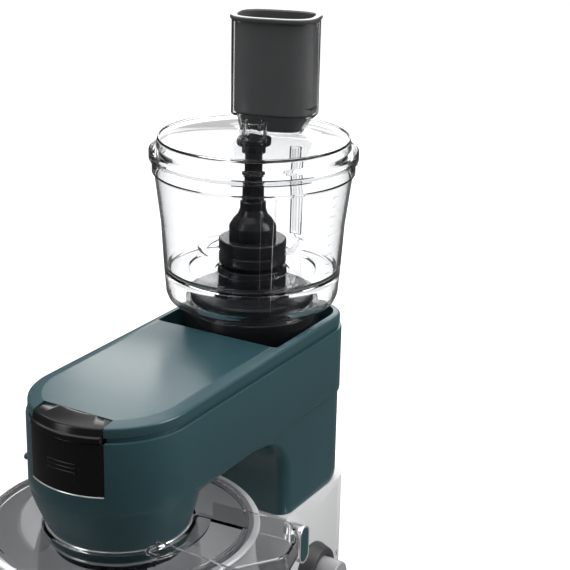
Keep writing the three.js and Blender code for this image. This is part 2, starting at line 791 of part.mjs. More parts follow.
// Dough hook: a straight stem that winds out and back under itself.
function doughHook() {
  const wind = new THREE.CatmullRomCurve3([
    new THREE.Vector3(TOOL_X, TOOL_Y, HUB_LOW + 15),
    new THREE.Vector3(TOOL_X, TOOL_Y, HUB_LOW + 6),
    new THREE.Vector3(TOOL_X, TOOL_Y, HUB_LOW - 3),
    new THREE.Vector3(TOOL_X, TOOL_Y, HUB_LOW - 12),
    new THREE.Vector3(TOOL_X - 4, TOOL_Y - 14, HUB_LOW - 28),
    new THREE.Vector3(TOOL_X - 26, TOOL_Y - 16, HUB_LOW - 48),
    new THREE.Vector3(TOOL_X - 30, TOOL_Y + 12, HUB_LOW - 68),
    new THREE.Vector3(TOOL_X - 6, TOOL_Y + 24, HUB_LOW - 84),
    new THREE.Vector3(TOOL_X + 12, TOOL_Y + 6, HUB_LOW - 96),
  ]);
  return bar(wind, STEM_R, 30);
}

// Bevel pair between the carrier shaft and the front outlet, as plain cones on one apex.
function bevelWheel() {
  const rim = (radius) => FRONT_OUTLET_Z - radius * BEVEL_SLOPE - 0.3;
  return turned([
    [CARRIER_SHAFT_R + FIT, rim(34) - 5],
    [32, rim(34) - 5],
    [34, rim(34)],
    [20, rim(20)],
    [CARRIER_SHAFT_R + FIT, rim(20)],
  ], RING_X, 0);
}

function frontOutletShaft() {
  const bevel = (distance) => distance * BEVEL_SLOPE - 0.3;
  const shaft = turnedX([
    [0, OUTLET_FACE],
    [12, OUTLET_FACE],
    [12, OUTLET_FACE + 14],
    [5, OUTLET_FACE + 16],
    [5, RING_X - 33],
    [bevel(33), RING_X - 33],
    [bevel(20), RING_X - 20],
    [0, RING_X - 20],
  ], 0, FRONT_OUTLET_Z, INNER_ROUND);
  const socket = 6.5;
  const z = FRONT_OUTLET_Z;
  return shaft.subtract(block(OUTLET_FACE - 1, OUTLET_FACE + 10, -socket, socket, z - socket, z + socket));
}

function frontOutletCollar() {
  const z = FRONT_OUTLET_Z;
  return turnedX([
    [16, -300],
    [16, -288],
    [13, -288],
    [13, -285],
    [22.5, -285],
    [22.5, -307],
    [20, -307],
    [20, -300],
  ], 0, z, INNER_ROUND);
}

function carrierShaft() {
  return rodZ(RING_X, 0, CARRIER_SHAFT_R, CARRIER_TOP - 6, -49, INNER_ROUND);
}

// ---------------------------------------------------------------- base

function basePlan(inset) {
  const half = BASE_HALF - inset;
  const front = BASE_FRONT + inset;
  return outline([
    [BASE_REAR - inset, -half, REAR_CORNER - 4 - inset],
    [BASE_REAR - inset, half, REAR_CORNER - 4 - inset],
    [front, half, half - 0.01],
    [front, -half, half - 0.01],
  ], 8);
}

// Side profile of the base: foot of the column, shelf, curve down to the deck under the bowl.
function baseProfile(inset, bottom) {
  const top = COLUMN_BOTTOM - 0.6 - inset;
  const outside = inset === 0;
  return outline([
    [BASE_REAR - inset, bottom, outside ? 3 : 0],
    [COLUMN_REAR + 1 - inset, top, outside ? 1.5 : 0],
    [COLUMN_FRONT + inset, top, outside ? 1.5 : 0],
    [COLUMN_FRONT + inset, SHELF_Z - inset, outside ? 4 : 0],
    [SHELF_X + inset, SHELF_Z - inset, outside ? 14 : 0],
    [SHELF_X - 18 + inset, DECK - inset, outside ? 30 : 0],
    [BASE_FRONT + 6 + inset, DECK - inset, outside ? 10 : 0],
    [BASE_FRONT + inset, bottom, outside ? 3 : 0],
  ]);
}

function baseHousing() {
  const outer = prismY(baseProfile(0, BASE_BOTTOM), -BASE_HALF, BASE_HALF)
    .intersect(prism(basePlan(0), BASE_BOTTOM - 1, COLUMN_BOTTOM + 1));
  const inner = prismY(baseProfile(WALL, BASE_BOTTOM - 1), -BASE_HALF + WALL, BASE_HALF - WALL)
    .intersect(prism(basePlan(WALL), BASE_BOTTOM - 2, COLUMN_BOTTOM));
  const slots = [-1, 1].map((side) => block(
    HINGE_X - 16, HINGE_X + 7,
    side * BRACKET_Y - BRACKET_THICK / 2 - 1, side * BRACKET_Y + BRACKET_THICK / 2 + 1,
    COLUMN_BOTTOM - 8, COLUMN_BOTTOM + 2,
  ));
  const hookSlot = block(-53.5, -26, -HOOK.halfY - 1, HOOK.halfY + 1, COLUMN_BOTTOM - 8, COLUMN_BOTTOM + 2);
  return slots
    .reduce((body, slot) => body.subtract(slot), outer.subtract(inner))
    .subtract(hookSlot)
    .subtract(rodY(KNOB_X, KNOB_Z, SHAFT_R + RUN, -90, -70))
    .subtract(rodY(LEVER_X, LEVER_Z, LEVER_SHAFT_R + RUN, -90, -70))
    .subtract(rodX(GLAND.y, GLAND.z, GLAND.r + 1, BASE_REAR - 20, BASE_REAR + 10));
}

// Bottom plate with a row of air slots under the motor.
function bottomPlate() {
  const room = prismY(baseProfile(WALL + SEAM, BASE_BOTTOM - 1), -BASE_HALF, BASE_HALF);
  const plate = prism(basePlan(WALL + SEAM), PLATE_LOW, PLATE_LOW + WALL).intersect(room);
  const slots = [-2, -1, 0, 1, 2]
    .map((k) => block(-30, 30, k * 12 - 2, k * 12 + 2, PLATE_LOW - 1, PLATE_LOW + 9));
  return slots.reduce((body, slot) => body.subtract(slot), plate);
}

function foot([x, y]) {
  const bottom = BASE_BOTTOM - FOOT_HEIGHT;
  return turned([
    [0, bottom],
    [FOOT_R - 1, bottom],
    [FOOT_R, bottom + 1],
    [FOOT_R - 1, PLATE_LOW - 0.3],
    [0, PLATE_LOW - 0.3],
  ], x, y, INNER_ROUND);
}

// Round seat that the mixing bowl's foot turns in.
function bowlSeat() {
  return turned([
    [30, DECK + 0.4],
    [68, DECK + 0.4],
    [68, DECK + 4],
    [66, DECK + 5],
    [MIX_FOOT_R + 1.5, DECK + 5],
    [MIX_FOOT_R + 1.5, DECK + 1.6],
    [30, DECK + 1.6],
  ], RING_X, 0);
}

// Upright steel bracket that holds one end of the tilt pin.
function hingeBracket(side) {
  const y = side * BRACKET_Y - BRACKET_THICK / 2;
  const plate = prismY(outline([
    [HINGE_X - BRACKET_WIDTH, BRACKET_FOOT],
    [HINGE_X, BRACKET_FOOT],
    [HINGE_X, HINGE_Z],
    [HINGE_X - HINGE_EYE_R, HINGE_Z],
    [HINGE_X - BRACKET_WIDTH, HINGE_Z - 12],
  ]), y, y + BRACKET_THICK);
  return plate
    .add(rodY(HINGE_X, HINGE_Z, HINGE_EYE_R, y, y + BRACKET_THICK, INNER_ROUND))
    .subtract(rodY(HINGE_X, HINGE_Z, HINGE_PIN_R + FIT, y - 1, y + BRACKET_THICK + 1));
}

function tiltPin() {
  const reach = BRACKET_Y + BRACKET_THICK / 2 + 3;
  return rodY(HINGE_X, HINGE_Z, HINGE_PIN_R, -reach, reach);
}

// Fixed dial ring round the speed knob.
function dialBezel() {
  return turnedY([
    [KNOB_R + RUN, 0.4],
    [BEZEL_R, 0.4],
    [BEZEL_R, 2],
    [BEZEL_FRONT_R, BEZEL_DEPTH - 1.5],
    [BEZEL_FRONT_R - 1.5, BEZEL_DEPTH],
    [KNOB_R + 2, BEZEL_DEPTH],
    [KNOB_R + RUN, BEZEL_DEPTH - 2],
  ], KNOB_X, KNOB_Z, -BASE_HALF);
}

function speedKnob() {
  const body = turnedY([
    [0, -12],
    [SHAFT_R, -12],
    [SHAFT_R, 1],
    [KNOB_R, 1],
    [KNOB_R - 0.6, KNOB_DEPTH - 2],
    [KNOB_R - 2.4, KNOB_DEPTH],
    [0, KNOB_DEPTH],
  ], KNOB_X, KNOB_Z, -BASE_HALF);
  return body.subtract(pointerBlock(SEAM));
}

// Raised mark at the knob's rim; at rest it points to the dial's zero.
function pointerBlock(grow) {
  const face = -BASE_HALF - KNOB_DEPTH;
  const mark = new THREE.BoxGeometry(9 + 2 * grow, 2 + 2 * grow, 3 + 2 * grow);
  mark.translate(11, face + 0.6, 0).rotateY(-POINTER_ANGLE).translate(KNOB_X, 0, KNOB_Z);
  return solid(mark);
}

// Lever that frees the head: an upright paddle on a shaft through the base's wall.
function paddlePlan(inset) {
  const half = (PADDLE.back - PADDLE.front) / 2 - inset;
  return outline([
    [PADDLE.front + inset, PADDLE.low + inset, half - 0.01],
    [PADDLE.back - inset, PADDLE.low + inset, half - 0.01],
    [PADDLE.back - inset, PADDLE.high - inset, half - 0.01],
    [PADDLE.front + inset, PADDLE.high - inset, half - 0.01],
  ], 8);
}

function releaseLever() {
  const paddle = prismY(paddlePlan(0), -PADDLE.out, -BASE_HALF - 0.8);
  const shaft = rodY(LEVER_X, LEVER_Z, LEVER_SHAFT_R, -PADDLE.out + 4, HOOK.halfY + 4);
  return paddle.add(shaft).subtract(prismY(paddlePlan(2), -PADDLE.out - 1, -PADDLE.out + 1.5));
}

function leverInlay() {
  return prismY(paddlePlan(2 + SEAM), -PADDLE.out - 0.2, -PADDLE.out + 1.1);
}

// Hook on the lever's shaft that holds the head's keeper down.
function latchHook() {
  const side = prismY(outline([
    [LEVER_X - HOOK_CHEEK, LEVER_Z - 6, 3],
    [LEVER_X + 7, LEVER_Z - 6, 3],
    [LEVER_X + 7, LEVER_Z + 8, 3],
    [HOOK.back, LEVER_Z + 18],
    [HOOK.back, HOOK.top],
    [HOOK.front, HOOK.top],
    [HOOK.front, HOOK.under],
    [HOOK.arm, HOOK.under],
    [HOOK.arm, LEVER_Z + 20],
    [LEVER_X - HOOK_CHEEK, LEVER_Z + 8],
  ]), -HOOK.halfY, HOOK.halfY);
  return side.subtract(rodY(LEVER_X, LEVER_Z, LEVER_SHAFT_R + FIT, -20, 20));
}

function latchKeeper() {
  return block(COLUMN_FRONT + WALL + SEAM, KEEPER_BACK, -14, 14, HOOK.under - 3.4, HOOK.under - RUN);
}

// Speed controller board on the knob's shaft.
function controlBoard() {
  const sheet = block(-38, 30, -66, -64.2, -300, -246);
  const potentiometer = block(KNOB_X - 9, KNOB_X + 9, -64.5, -55, KNOB_Z - 9, KNOB_Z + 9);
  const capacitor = block(12, 26, -64.5, -44, -296, -282);
  const heatSink = block(-34, -20, -64.5, -48, -290, -256);
  return sheet
    .add(potentiometer)
    .add(capacitor)
    .add(heatSink)
    .subtract(rodY(KNOB_X, KNOB_Z, SHAFT_R + 0.6, -70, -50));
}

function cordGland() {
  return turnedX([
    [3.5, BASE_REAR - 10],
    [GLAND.r, BASE_REAR - 10],
    [GLAND.r, BASE_REAR + 1.6],
    [9, BASE_REAR + 1.6],
    [7, BASE_REAR + 8],
    [3.5, BASE_REAR + 8],
  ], GLAND.y, GLAND.z, INNER_ROUND);
}

// ---------------------------------------------------------------- mixing bowl and splash guard

function mixingBowl() {
  const bowl = turned([
    [0, MIX_BOTTOM],
    [70, MIX_BOTTOM],
    [95, MIX_BOTTOM + 8],
    [112, MIX_BOTTOM + 28],
    [121, MIX_BOTTOM + 59],
    [126.5, MIX_BOTTOM + 114],
    [128, MIX_RIM_Z - 4],
    [MIX_RIM_R - 1, MIX_RIM_Z - 4],
    [MIX_RIM_R, MIX_RIM_Z - 2],
    [MIX_RIM_R - 1, MIX_RIM_Z],
    [128 - STEEL, MIX_RIM_Z],
    [126.5 - STEEL, MIX_BOTTOM + 114],
    [121 - STEEL, MIX_BOTTOM + 59.4],
    [112 - STEEL, MIX_BOTTOM + 29],
    [95 - 1, MIX_BOTTOM + 8 + STEEL],
    [70, MIX_BOTTOM + STEEL],
    [0, MIX_BOTTOM + STEEL],
  ], RING_X, 0, WIDE_ROUND);
  const footRing = turned([
    [MIX_FOOT_R - 5, DECK + 2.1],
    [MIX_FOOT_R, DECK + 2.1],
    [MIX_FOOT_R, MIX_BOTTOM + 0.5],
    [MIX_FOOT_R - 5, MIX_BOTTOM + 0.5],
  ], RING_X, 0);
  return bowl.add(footRing);
}

function guardChutePlan(inset) {
  const centre = new THREE.Vector2(-236, -120);
  const grown = CHUTE_CORNERS.map(([x, y, radius]) => {
    const away = new THREE.Vector2(x, y).sub(centre);
    const shrunk = away.clone().multiplyScalar(1 - inset / 46);
    return [centre.x + shrunk.x, centre.y + shrunk.y, Math.max(radius - inset, 1)];
  });
  return outline(grown.reverse());
}

// Clear guard over the bowl: flange, rim, flaring collar round the nose and a filling chute.
function splashGuard() {
  const flangeLow = GUARD_TOP - GUARD_WALL;
  const collarR = NOSE_RING_R - CONE_STEP + NOSE_GAP;
  const disc = turned([
    [collarR, GUARD_TOP],
    [collarR, flangeLow],
    [76, -178],
    [76 + GUARD_WALL, -178],
    [collarR + GUARD_WALL + 0.4, flangeLow],
    [GUARD_R - GUARD_WALL, flangeLow],
    [GUARD_R - GUARD_WALL, flangeLow - 6],
    [GUARD_R, flangeLow - 6],
    [GUARD_R, GUARD_TOP],
  ], RING_X, 0, WIDE_ROUND);
  const beyond = rodZ(RING_X, 0, GUARD_R - 4, -200, -100, WIDE_ROUND);
  const noseRoom = rodZ(RING_X, 0, HEAD_HALF + 8, -128, -100, WIDE_ROUND);
  const tub = prism(guardChutePlan(0), flangeLow, GUARD_CHUTE_TOP);
  const cavity = prism(guardChutePlan(GUARD_WALL), flangeLow + GUARD_WALL, GUARD_CHUTE_TOP + 1);
  const drop = prism(guardChutePlan(GUARD_WALL), flangeLow - 1, GUARD_TOP + 1).intersect(beyond);
  const throat = rodZ(RING_X, 0, collarR, -200, -100, WIDE_ROUND);
  const trough = tub
    .subtract(cavity)
    .subtract(noseRoom)
    .subtract(throat)
    .subtract(cone(-NOSE_GAP, NOSE_FLOOR));
  return disc.add(trough).subtract(drop.subtract(rodZ(RING_X, 0, HEAD_HALF + 6, -200, -100, WIDE_ROUND)));
}

// ---------------------------------------------------------------- processor attachment

function adapterBase() {
  const body = turned([
    [ADAPTER_R - WALL, RECESS_FLOOR + 0.5],
    [ADAPTER_R, RECESS_FLOOR + 0.5],
    [ADAPTER_R, -2],
    [ADAPTER_R - 1, ADAPTER_TOP],
    [ADAPTER_STEP_R, ADAPTER_TOP],
    [ADAPTER_STEP_R, ADAPTER_TOP + 14],
    [ADAPTER_STEP_R - 2, ADAPTER_TOP + 16],
    [BOSS_R, ADAPTER_TOP + 20],
    [BOSS_R - 2, BOSS_TOP],
    [ADAPTER_BORE_R, BOSS_TOP],
    [ADAPTER_BORE_R, BOSS_TOP - 3],
    [BOSS_R - 5, BOSS_TOP - 3],
    [BOSS_R - 3, ADAPTER_TOP + 17],
    [ADAPTER_STEP_R - 3, ADAPTER_TOP + 12],
    [ADAPTER_STEP_R - 3, ADAPTER_TOP - 3],
    [ADAPTER_R - WALL, ADAPTER_TOP - 4],
  ]);
  return body;
}

// Clear bowl: tapered wall, floor on a skirt, and a collar that drops over the adapter's step.
function processorBowl() {
  const flare = (share) => THREE.MathUtils.lerp(BOWL_COLLAR_R, BOWL_FOOT_R, share);
  const shell = turned([
    [ADAPTER_STEP_R + RUN, ADAPTER_TOP + 0.4],
    [BOWL_COLLAR_R - 0.2, ADAPTER_TOP + 0.4],
    [BOWL_COLLAR_R, 18],
    [flare(0.61), 18],
    [flare(0.88), 20.5],
    [BOWL_FOOT_R, 27],
    [BOWL_FOOT_R + 2, BOWL_FLOOR],
    [BOWL_RIM_R - 9, 99],
    [BOWL_RIM_R - 2.5, 151],
    [BOWL_RIM_R, 153],
    [BOWL_RIM_R, BOWL_RIM_Z],
    [BOWL_RIM_R - GLASS, BOWL_RIM_Z],
    [BOWL_RIM_R - GLASS, 154],
    [BOWL_RIM_R - 2.5 - GLASS, 151],
    [BOWL_RIM_R - 9 - GLASS, 99],
    [BOWL_FOOT_R + 2 - GLASS, BOWL_FLOOR + 6],
    [BOWL_FOOT_R - 4, BOWL_FLOOR + 1],
    [66, BOWL_FLOOR],
    [64, BOWL_FLOOR - 1.5],
    [BOSS_R + 1, BOWL_FLOOR - 1.5],
    [BOSS_R + 1, BOWL_FLOOR - 4],
    [BOWL_FOOT_R - 4, BOWL_FLOOR - 2],
    [BOWL_FOOT_R - 1, BOWL_FLOOR - 5],
    [BOWL_FOOT_R - GLASS, 28],
    [flare(0.61) - 1, 21],
    [ADAPTER_STEP_R + RUN, 21],
  ], 0, 0, WIDE_ROUND);
  const channel = block(ROD_X - 1.1, ROD_X + 5.4, -6.5, 6.5, 62, 150)
    .subtract(block(ROD_X - 5.6, ROD_X + 3, -4, 4, 64, 148));
  return shell.add(channel.subtract(rodZ(0, 0, ROD_X - 1, 40, 200, WIDE_ROUND)));
}

function interlockRod() {
  return rodZ(ROD_X, 0, 1.9, 66, 146, 12);
}

// The neck's taper between two heights, drawn inwards from its outer face.
function neckSolid(inset, low, high) {
  const level = (z) => {
    const share = (z - LID_TOP) / (CHUTE_STEP - LID_TOP);
    const shift = THREE.MathUtils.lerp(NECK_LOW.shift, NECK_HIGH.shift, share);
    const place = {
      ...CHUTE,
      x: CHUTE.x + shift * Math.cos(CHUTE.turn),
      y: CHUTE.y + shift * Math.sin(CHUTE.turn),
    };
    return [z, oval(place, THREE.MathUtils.lerp(NECK_LOW.inset, NECK_HIGH.inset, share) + inset)];
  };
  return stacked([level(low), level(high)]);
}

function processorLid() {
  const plateLow = LID_TOP - LID_PLATE;
  const shell = turned([
    [0, LID_TOP],
    [LID_PLATE_R - 2.4, LID_TOP],
    [LID_PLATE_R - 2, LID_TOP + 1.4],
    [LID_PLATE_R - 0.6, LID_TOP + 1.4],
    [LID_PLATE_R, LID_TOP],
    [LID_PLATE_R + 0.8, LID_TOP - 9],
    [LID_R - 2, LID_TOP - 11],
    [LID_R, LID_TOP - 12.5],
    [LID_R, BOWL_RIM_Z - 2.6],
    [BOWL_RIM_R + 0.6, BOWL_RIM_Z - 2.6],
    [BOWL_RIM_R + 0.6, BOWL_RIM_Z + 0.5],
    [BOWL_RIM_R - GLASS - 0.6, BOWL_RIM_Z + 0.5],
    [BOWL_RIM_R - GLASS - 0.6, BOWL_RIM_Z - 6],
    [LID_PLATE_R - GLASS + 1, BOWL_RIM_Z - 6],
    [LID_PLATE_R - GLASS + 0.6, plateLow],
    [0, plateLow],
  ], 0, 0, WIDE_ROUND);
  const neck = neckSolid(0, plateLow, CHUTE_STEP + 0.5);
  const funnel = stacked([
    [CHUTE_STEP - CHUTE_WALL, oval(CHUTE, 0.8)],
    [CHUTE_STEP - 1, oval(CHUTE, 0)],
    [CHUTE_TOP, oval(CHUTE, 0)],
  ]);
  const boss = rodZ(0, 0, 12.5, LID_TOP - 0.5, LID_TOP + 15, INNER_ROUND)
    .subtract(rodZ(0, 0, 9.5, LID_TOP, LID_TOP + 16, INNER_ROUND));
  return shell
    .add(boss)
    .add(neck)
    .add(funnel)
    .subtract(prism(oval(CHUTE, CHUTE_WALL), CHUTE_STEP, CHUTE_TOP + 1))
    .subtract(neckSolid(CHUTE_WALL, plateLow - 1, CHUTE_STEP + 1));
}

function lidBearing() {
  const top = LID_TOP - LID_PLATE - SEAM;
  return turned([
    [SPINDLE_TOP_R + RUN, BEARING_TUBE_LOW],
    [BEARING_TUBE_R, BEARING_TUBE_LOW],
    [BEARING_TUBE_R, top - 9],
    [BEARING_R - 1, top - 9],
    [BEARING_R, top - 8],
    [BEARING_R, top],
    [0, top],
    [0, SPINDLE_TOP + 1],
    [SPINDLE_TOP_R + RUN, SPINDLE_TOP + 1],
  ], 0, 0, INNER_ROUND).subtract(neckSolid(-1, top - 20, top + 1));
}

// Hollow pusher: a stepped oval cup that hangs on its own rim.
function foodPusher() {
  const clearance = CHUTE_WALL + 1;
  const foot = LID_TOP + 1;
  const step = CHUTE_STEP + 0.6;
  const rimLow = CHUTE_TOP + SEAM;
  const body = neckSolid(clearance, foot, step + 0.5)
    .add(prism(oval(CHUTE, clearance), step, rimLow + 1))
    .add(stacked([
      [rimLow, oval(CHUTE, -0.4)],
      [rimLow + 2, oval(CHUTE, -1.6)],
      [rimLow + PUSHER_RIM, oval(CHUTE, -1)],
    ]));
  return body
    .subtract(neckSolid(clearance + PUSHER_WALL, foot + PUSHER_WALL, step + 8))
    .subtract(prism(oval(CHUTE, clearance + PUSHER_WALL), step + PUSHER_WALL, rimLow + PUSHER_RIM + 1));
}

// Drive spindle: stepped head in the lid's bearing, bell over the blade hub, socket for the drive dog.
function driveSpindle() {
  const socketFlat = HEX_FLAT + 0.4;
  const body = turned([
    [0, SPINDLE_FOOT],
    [12.5, SPINDLE_FOOT],
    [12.5, HUB_BOTTOM + 2],
    [HUB_R - 13, HUB_BOTTOM + 4],
    [HUB_R - 13, HUB_TOP + 0.6],
    [24, HUB_TOP + 0.6],
    [24, 95],
    [20, 102],
    [15.5, 107],
    [13.2, 113],
    [13, 121],
    [11, 121.8],
    [11, 136],
    [SPINDLE_TOP_R, 137],
    [SPINDLE_TOP_R, SPINDLE_TOP],
    [0, SPINDLE_TOP],
  ], 0, 0, INNER_ROUND);
  const socket = circle(0, 0, socketFlat / Math.cos(Math.PI / 6), 6);
  return body.subtract(prism(socket, SPINDLE_FOOT - 1, HEX_TOP + 2));
}

// Ring that carries the blades.
function bladeHub() {
  const bore = HUB_R - 12.6;
  return turned([
    [bore, HUB_BOTTOM],
    [HUB_R - 2, HUB_BOTTOM],
    [HUB_R, HUB_BOTTOM + 2],
    [HUB_R, HUB_TOP - 1],
    [HUB_R - 1, HUB_TOP],
    [bore, HUB_TOP],
  ]);
}

// Sickle blade from the hub out to its tip.
function blade(low, turn) {
  const root = HUB_R + 0.4;
  const steps = 14;
  const outer = [];
  const inner = [];
  for (let k = 0; k <= steps; k += 1) {
    const t = k / steps;
    const outerAngle = turn + 1.35 * t;
    const innerAngle = turn + 0.5 + 0.85 * t;
    const outerR = root + (BLADE_REACH - root) * t ** 0.75;
    const innerR = root + (BLADE_REACH - 0.6 - root) * t ** 1.25;
    outer.push(new THREE.Vector2(outerR * Math.cos(outerAngle), outerR * Math.sin(outerAngle)));
    inner.push(new THREE.Vector2(innerR * Math.cos(innerAngle), innerR * Math.sin(innerAngle)));
  }
  return prism([...outer, ...inner.reverse()], low, low + BLADE_THICK)
    .subtract(rodZ(0, 0, root, 0, 200, ROUND));
}

// ---------------------------------------------------------------- pieces

add("head_shell", headShell(), teal);
add("top_cover", topCover(), teal);
add("front_cap", frontCap(), black);
add("nose_ring_upper", noseRing(NOSE_RING_R, NOSE_FLOOR - SEAM, UPPER_RING_BOTTOM), chrome);
add("nose_band", noseBand(), teal);
add("nose_ring_lower", noseRing(66.4, BAND_BOTTOM - SEAM, LOWER_RING_BOTTOM), chrome);
add("outlet_well", outletWell(), black);
add("motor_stator", motorStator(), copper);
add("tilt_frame", tiltFrame(), steel);
add("latch_keeper", latchKeeper(), steel);
add("chassis_plate", chassisPlate(), steel);
add("drive_belt", driveBelt(), rubber);
add("ring_gear", ringGear(), steel);
add("front_outlet_collar", frontOutletCollar(), dark);
add("front_door", frontDoor(), black);
add("lock_button", rodY(BUTTON_X, BUTTON_Z, BUTTON_R, 68, 88), teal);

add("motor_rotor", motorRotor(), steel);
add("motor_shaft", rodZ(0, 0, SHAFT_R, -182, -36.5), steel);
add("motor_fan", motorFan(), dark);
add("drive_pulley", pulley(0, SMALL_PULLEY_R, SHAFT_R + FIT), dark);
add("top_coupling", topCoupling(), dark);

add("driven_pulley", pulley(RING_X, BIG_PULLEY_R, CARRIER_SHAFT_R + FIT), dark);
add("carrier_shaft", carrierShaft(), steel);
add("bevel_wheel", bevelWheel(), steel);
add("planet_carrier", planetCarrier(), black);

add("planet_pinion", planetPinion(), steel);
add("tool_socket", toolSocket(), black);
add("dough_hook", doughHook(), steel);
add("front_outlet_shaft", frontOutletShaft(), steel);

add("base_housing", baseHousing(), silver);
add("bottom_plate", bottomPlate(), dark);
Object.entries(FEET).forEach(([name, place]) => add(name, foot(place), rubber));
add("bowl_seat", bowlSeat(), black);
add("hinge_bracket_left", hingeBracket(1), steel);
add("hinge_bracket_right", hingeBracket(-1), steel);
add("tilt_pin", tiltPin(), steel);
add("dial_bezel", dialBezel(), dark);
add("control_board", controlBoard(), board);
add("cord_gland", cordGland(), rubber);

add("speed_knob", speedKnob(), grey);
add("knob_pointer", pointerBlock(0), finish(0xc02020, 0.4, 0));
add("release_lever", releaseLever(), chrome);
add("lever_inlay", leverInlay(), teal);
add("latch_hook", latchHook(), steel);

add("mixing_bowl", mixingBowl(), steel);
add("splash_guard", splashGuard(), clear);

add("adapter_base", adapterBase(), black);
add("processor_bowl", processorBowl(), clear);
add("interlock_rod", interlockRod(), clear);
add("processor_lid", processorLid(), clear);
add("lid_bearing", lidBearing(), black);
add("food_pusher", foodPusher(), black);
add("drive_spindle", driveSpindle(), black);
add("blade_hub", bladeHub(), black);
add("blade_upper", blade(HUB_TOP - 3.4, THREE.MathUtils.degToRad(95)), steel);
add("blade_lower", blade(HUB_TOP - 14, THREE.MathUtils.degToRad(275)), steel);

// Origin at the bottom centre of the whole machine.
const extent = new THREE.Box3().setFromObject(machine);
const middle = extent.getCenter(new THREE.Vector3());
machine.position.set(-middle.x, -middle.y, -extent.min.z);

export default machine;
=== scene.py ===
"""Tilt-head kitchen machine with a food-processor bowl on its rear outlet.

Shapes are drawn in a drawing frame, in millimetres: its origin is the rear outlet's axis in the plane of the
head's top panel, X runs along the head with the nose towards -X, and the controls are on the -Y side. The
frame gives that origin, and place() turns a drawing point into the row frame in metres.
"""

import json
import math

import bmesh
import bpy
from mathutils import Matrix, Vector


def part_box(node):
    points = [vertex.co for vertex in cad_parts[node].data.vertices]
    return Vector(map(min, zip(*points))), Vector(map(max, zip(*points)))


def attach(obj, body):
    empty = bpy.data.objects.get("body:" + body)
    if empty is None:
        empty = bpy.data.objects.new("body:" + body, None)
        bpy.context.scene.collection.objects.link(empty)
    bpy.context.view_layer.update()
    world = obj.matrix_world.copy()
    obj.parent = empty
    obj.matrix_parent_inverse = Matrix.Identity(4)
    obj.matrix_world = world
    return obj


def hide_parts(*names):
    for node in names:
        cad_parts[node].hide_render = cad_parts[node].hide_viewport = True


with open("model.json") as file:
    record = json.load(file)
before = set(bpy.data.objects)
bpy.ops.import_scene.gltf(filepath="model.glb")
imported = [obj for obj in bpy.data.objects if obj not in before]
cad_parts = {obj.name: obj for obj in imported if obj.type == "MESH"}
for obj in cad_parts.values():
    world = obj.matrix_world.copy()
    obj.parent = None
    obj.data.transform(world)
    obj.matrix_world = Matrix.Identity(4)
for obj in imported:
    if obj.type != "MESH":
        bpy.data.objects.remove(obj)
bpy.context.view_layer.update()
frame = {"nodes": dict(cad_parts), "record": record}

# ------------------------------------------------------------------ places from the frame

JOINTS = {joint["name"]: joint for joint in frame["record"]["behaviour"]["joints"]}


def joint_at(name):
    return Vector(JOINTS[name]["pos_m"])


MM = 0.001
OUTLET = joint_at("motor_spin")
ORIGIN = Vector((OUTLET.x, OUTLET.y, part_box("top_cover")[1].z))


def drawn(point):
    """A row-frame point, in metres, as a drawing point in millimetres."""
    return (point - ORIGIN) / MM


def extent(node):
    """The node's low and high corners, as drawing points."""
    return tuple(drawn(corner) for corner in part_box(node))


NOSE_AXIS_X = drawn(joint_at("carrier_spin")).x
TOOL = drawn(joint_at("tool_spin"))
HINGE = drawn(joint_at("head_tilt"))
KNOB = drawn(joint_at("speed_knob_turn"))
LEVER = drawn(joint_at("release_lever_turn"))

# ------------------------------------------------------------------ driving sizes, millimetres

WALL = 3
SEAM = 0.4
HEAD_HALF = 80
NOSE_X = -240
HEAD_REAR = extent("head_shell")[1].x
REAR_CORNER = 40
SIDE_TOP = extent("head_shell")[1].z
CREASE = -86
UNDERSIDE = -93
NOSE_FLOOR = -131
NOSE_RING_R = 67.8
NOSE_HOLE_R = 57
COVER_BOTTOM = -11.5
COLUMN_HALF = 77.5
COLUMN_FRONT = -57
COLUMN_REAR = HINGE.x + 9
COLUMN_BOTTOM = HINGE.z - 9
HINGE_R = 9
ARCH_R = 60
RECESS_FRONT = -70
RECESS_REAR = 71
RECESS_HALF = 70.5
RECESS_FLOOR = extent("outlet_well")[1].z - 14
AHEAD = -330
CAP_BACK = -292.5
DOORWAY_BACK = -280
CAP_HALF = 38
DOOR_HALF = 39.5
DOOR_TOP = -16.6
DOOR_BOTTOM = -67
BASE_HALF = 80
BASE_REAR = extent("base_housing")[1].x
BASE_FRONT = extent("base_housing")[0].x
BASE_BOTTOM = extent("base_housing")[0].z
SHELF_Z = -233
SHELF_X = -98
DECK = -302
DIAL_START = 154  # degrees, where the 0 stands, and how far the numbers run from it
DIAL_SWEEP = 197
POINTER_LEAN = 132
LEVER_FACE = -101
LEVER_BACK = -80.8
LEVER_LEFT = -65
LEVER_RIGHT = -46
LEVER_LOW = -236
LEVER_HIGH = -194
BOWL_FLOOR = -294
BOWL_RIM = -134
GUARD_TOP = -131
GUARD_WALL = 2.2
GUARD_CHUTE_CORNERS = [
    (-280, -60, 4), (-192, -60, 4), (-185, -158, 12), (-204, -177, 14), (-243, -187, 24), (-286, -158, 12),
]
GUARD_CHUTE_CENTRE = (-236, -120)
GUARD_CHUTE_HALF = 46
BOWL_WALL = [(27, 88), (50, 90), (99, 93), (151, 99.5)]  # the clear bowl's outside: height, radius
LID_TOP = 187
CHUTE_SQUARENESS = 3.2
CHUTE_TURN = math.radians(107)
CHUTE_CENTRE = (38, -1)
CHUTE_LONG = 43.5
CHUTE_SHORT = 30
CHUTE_STEP = 206
CHUTE_WALL = 2.2
PUSHER_GAP = 3.2
PUSHER_INSIDE = 5.7
NECK_HIGH = (3, -2)  # inset all round, and shift along the chute's long axis
NECK_LOW = (11, 2.5)
FINE = 96  # steps round a large circle

# ------------------------------------------------------------------ camera

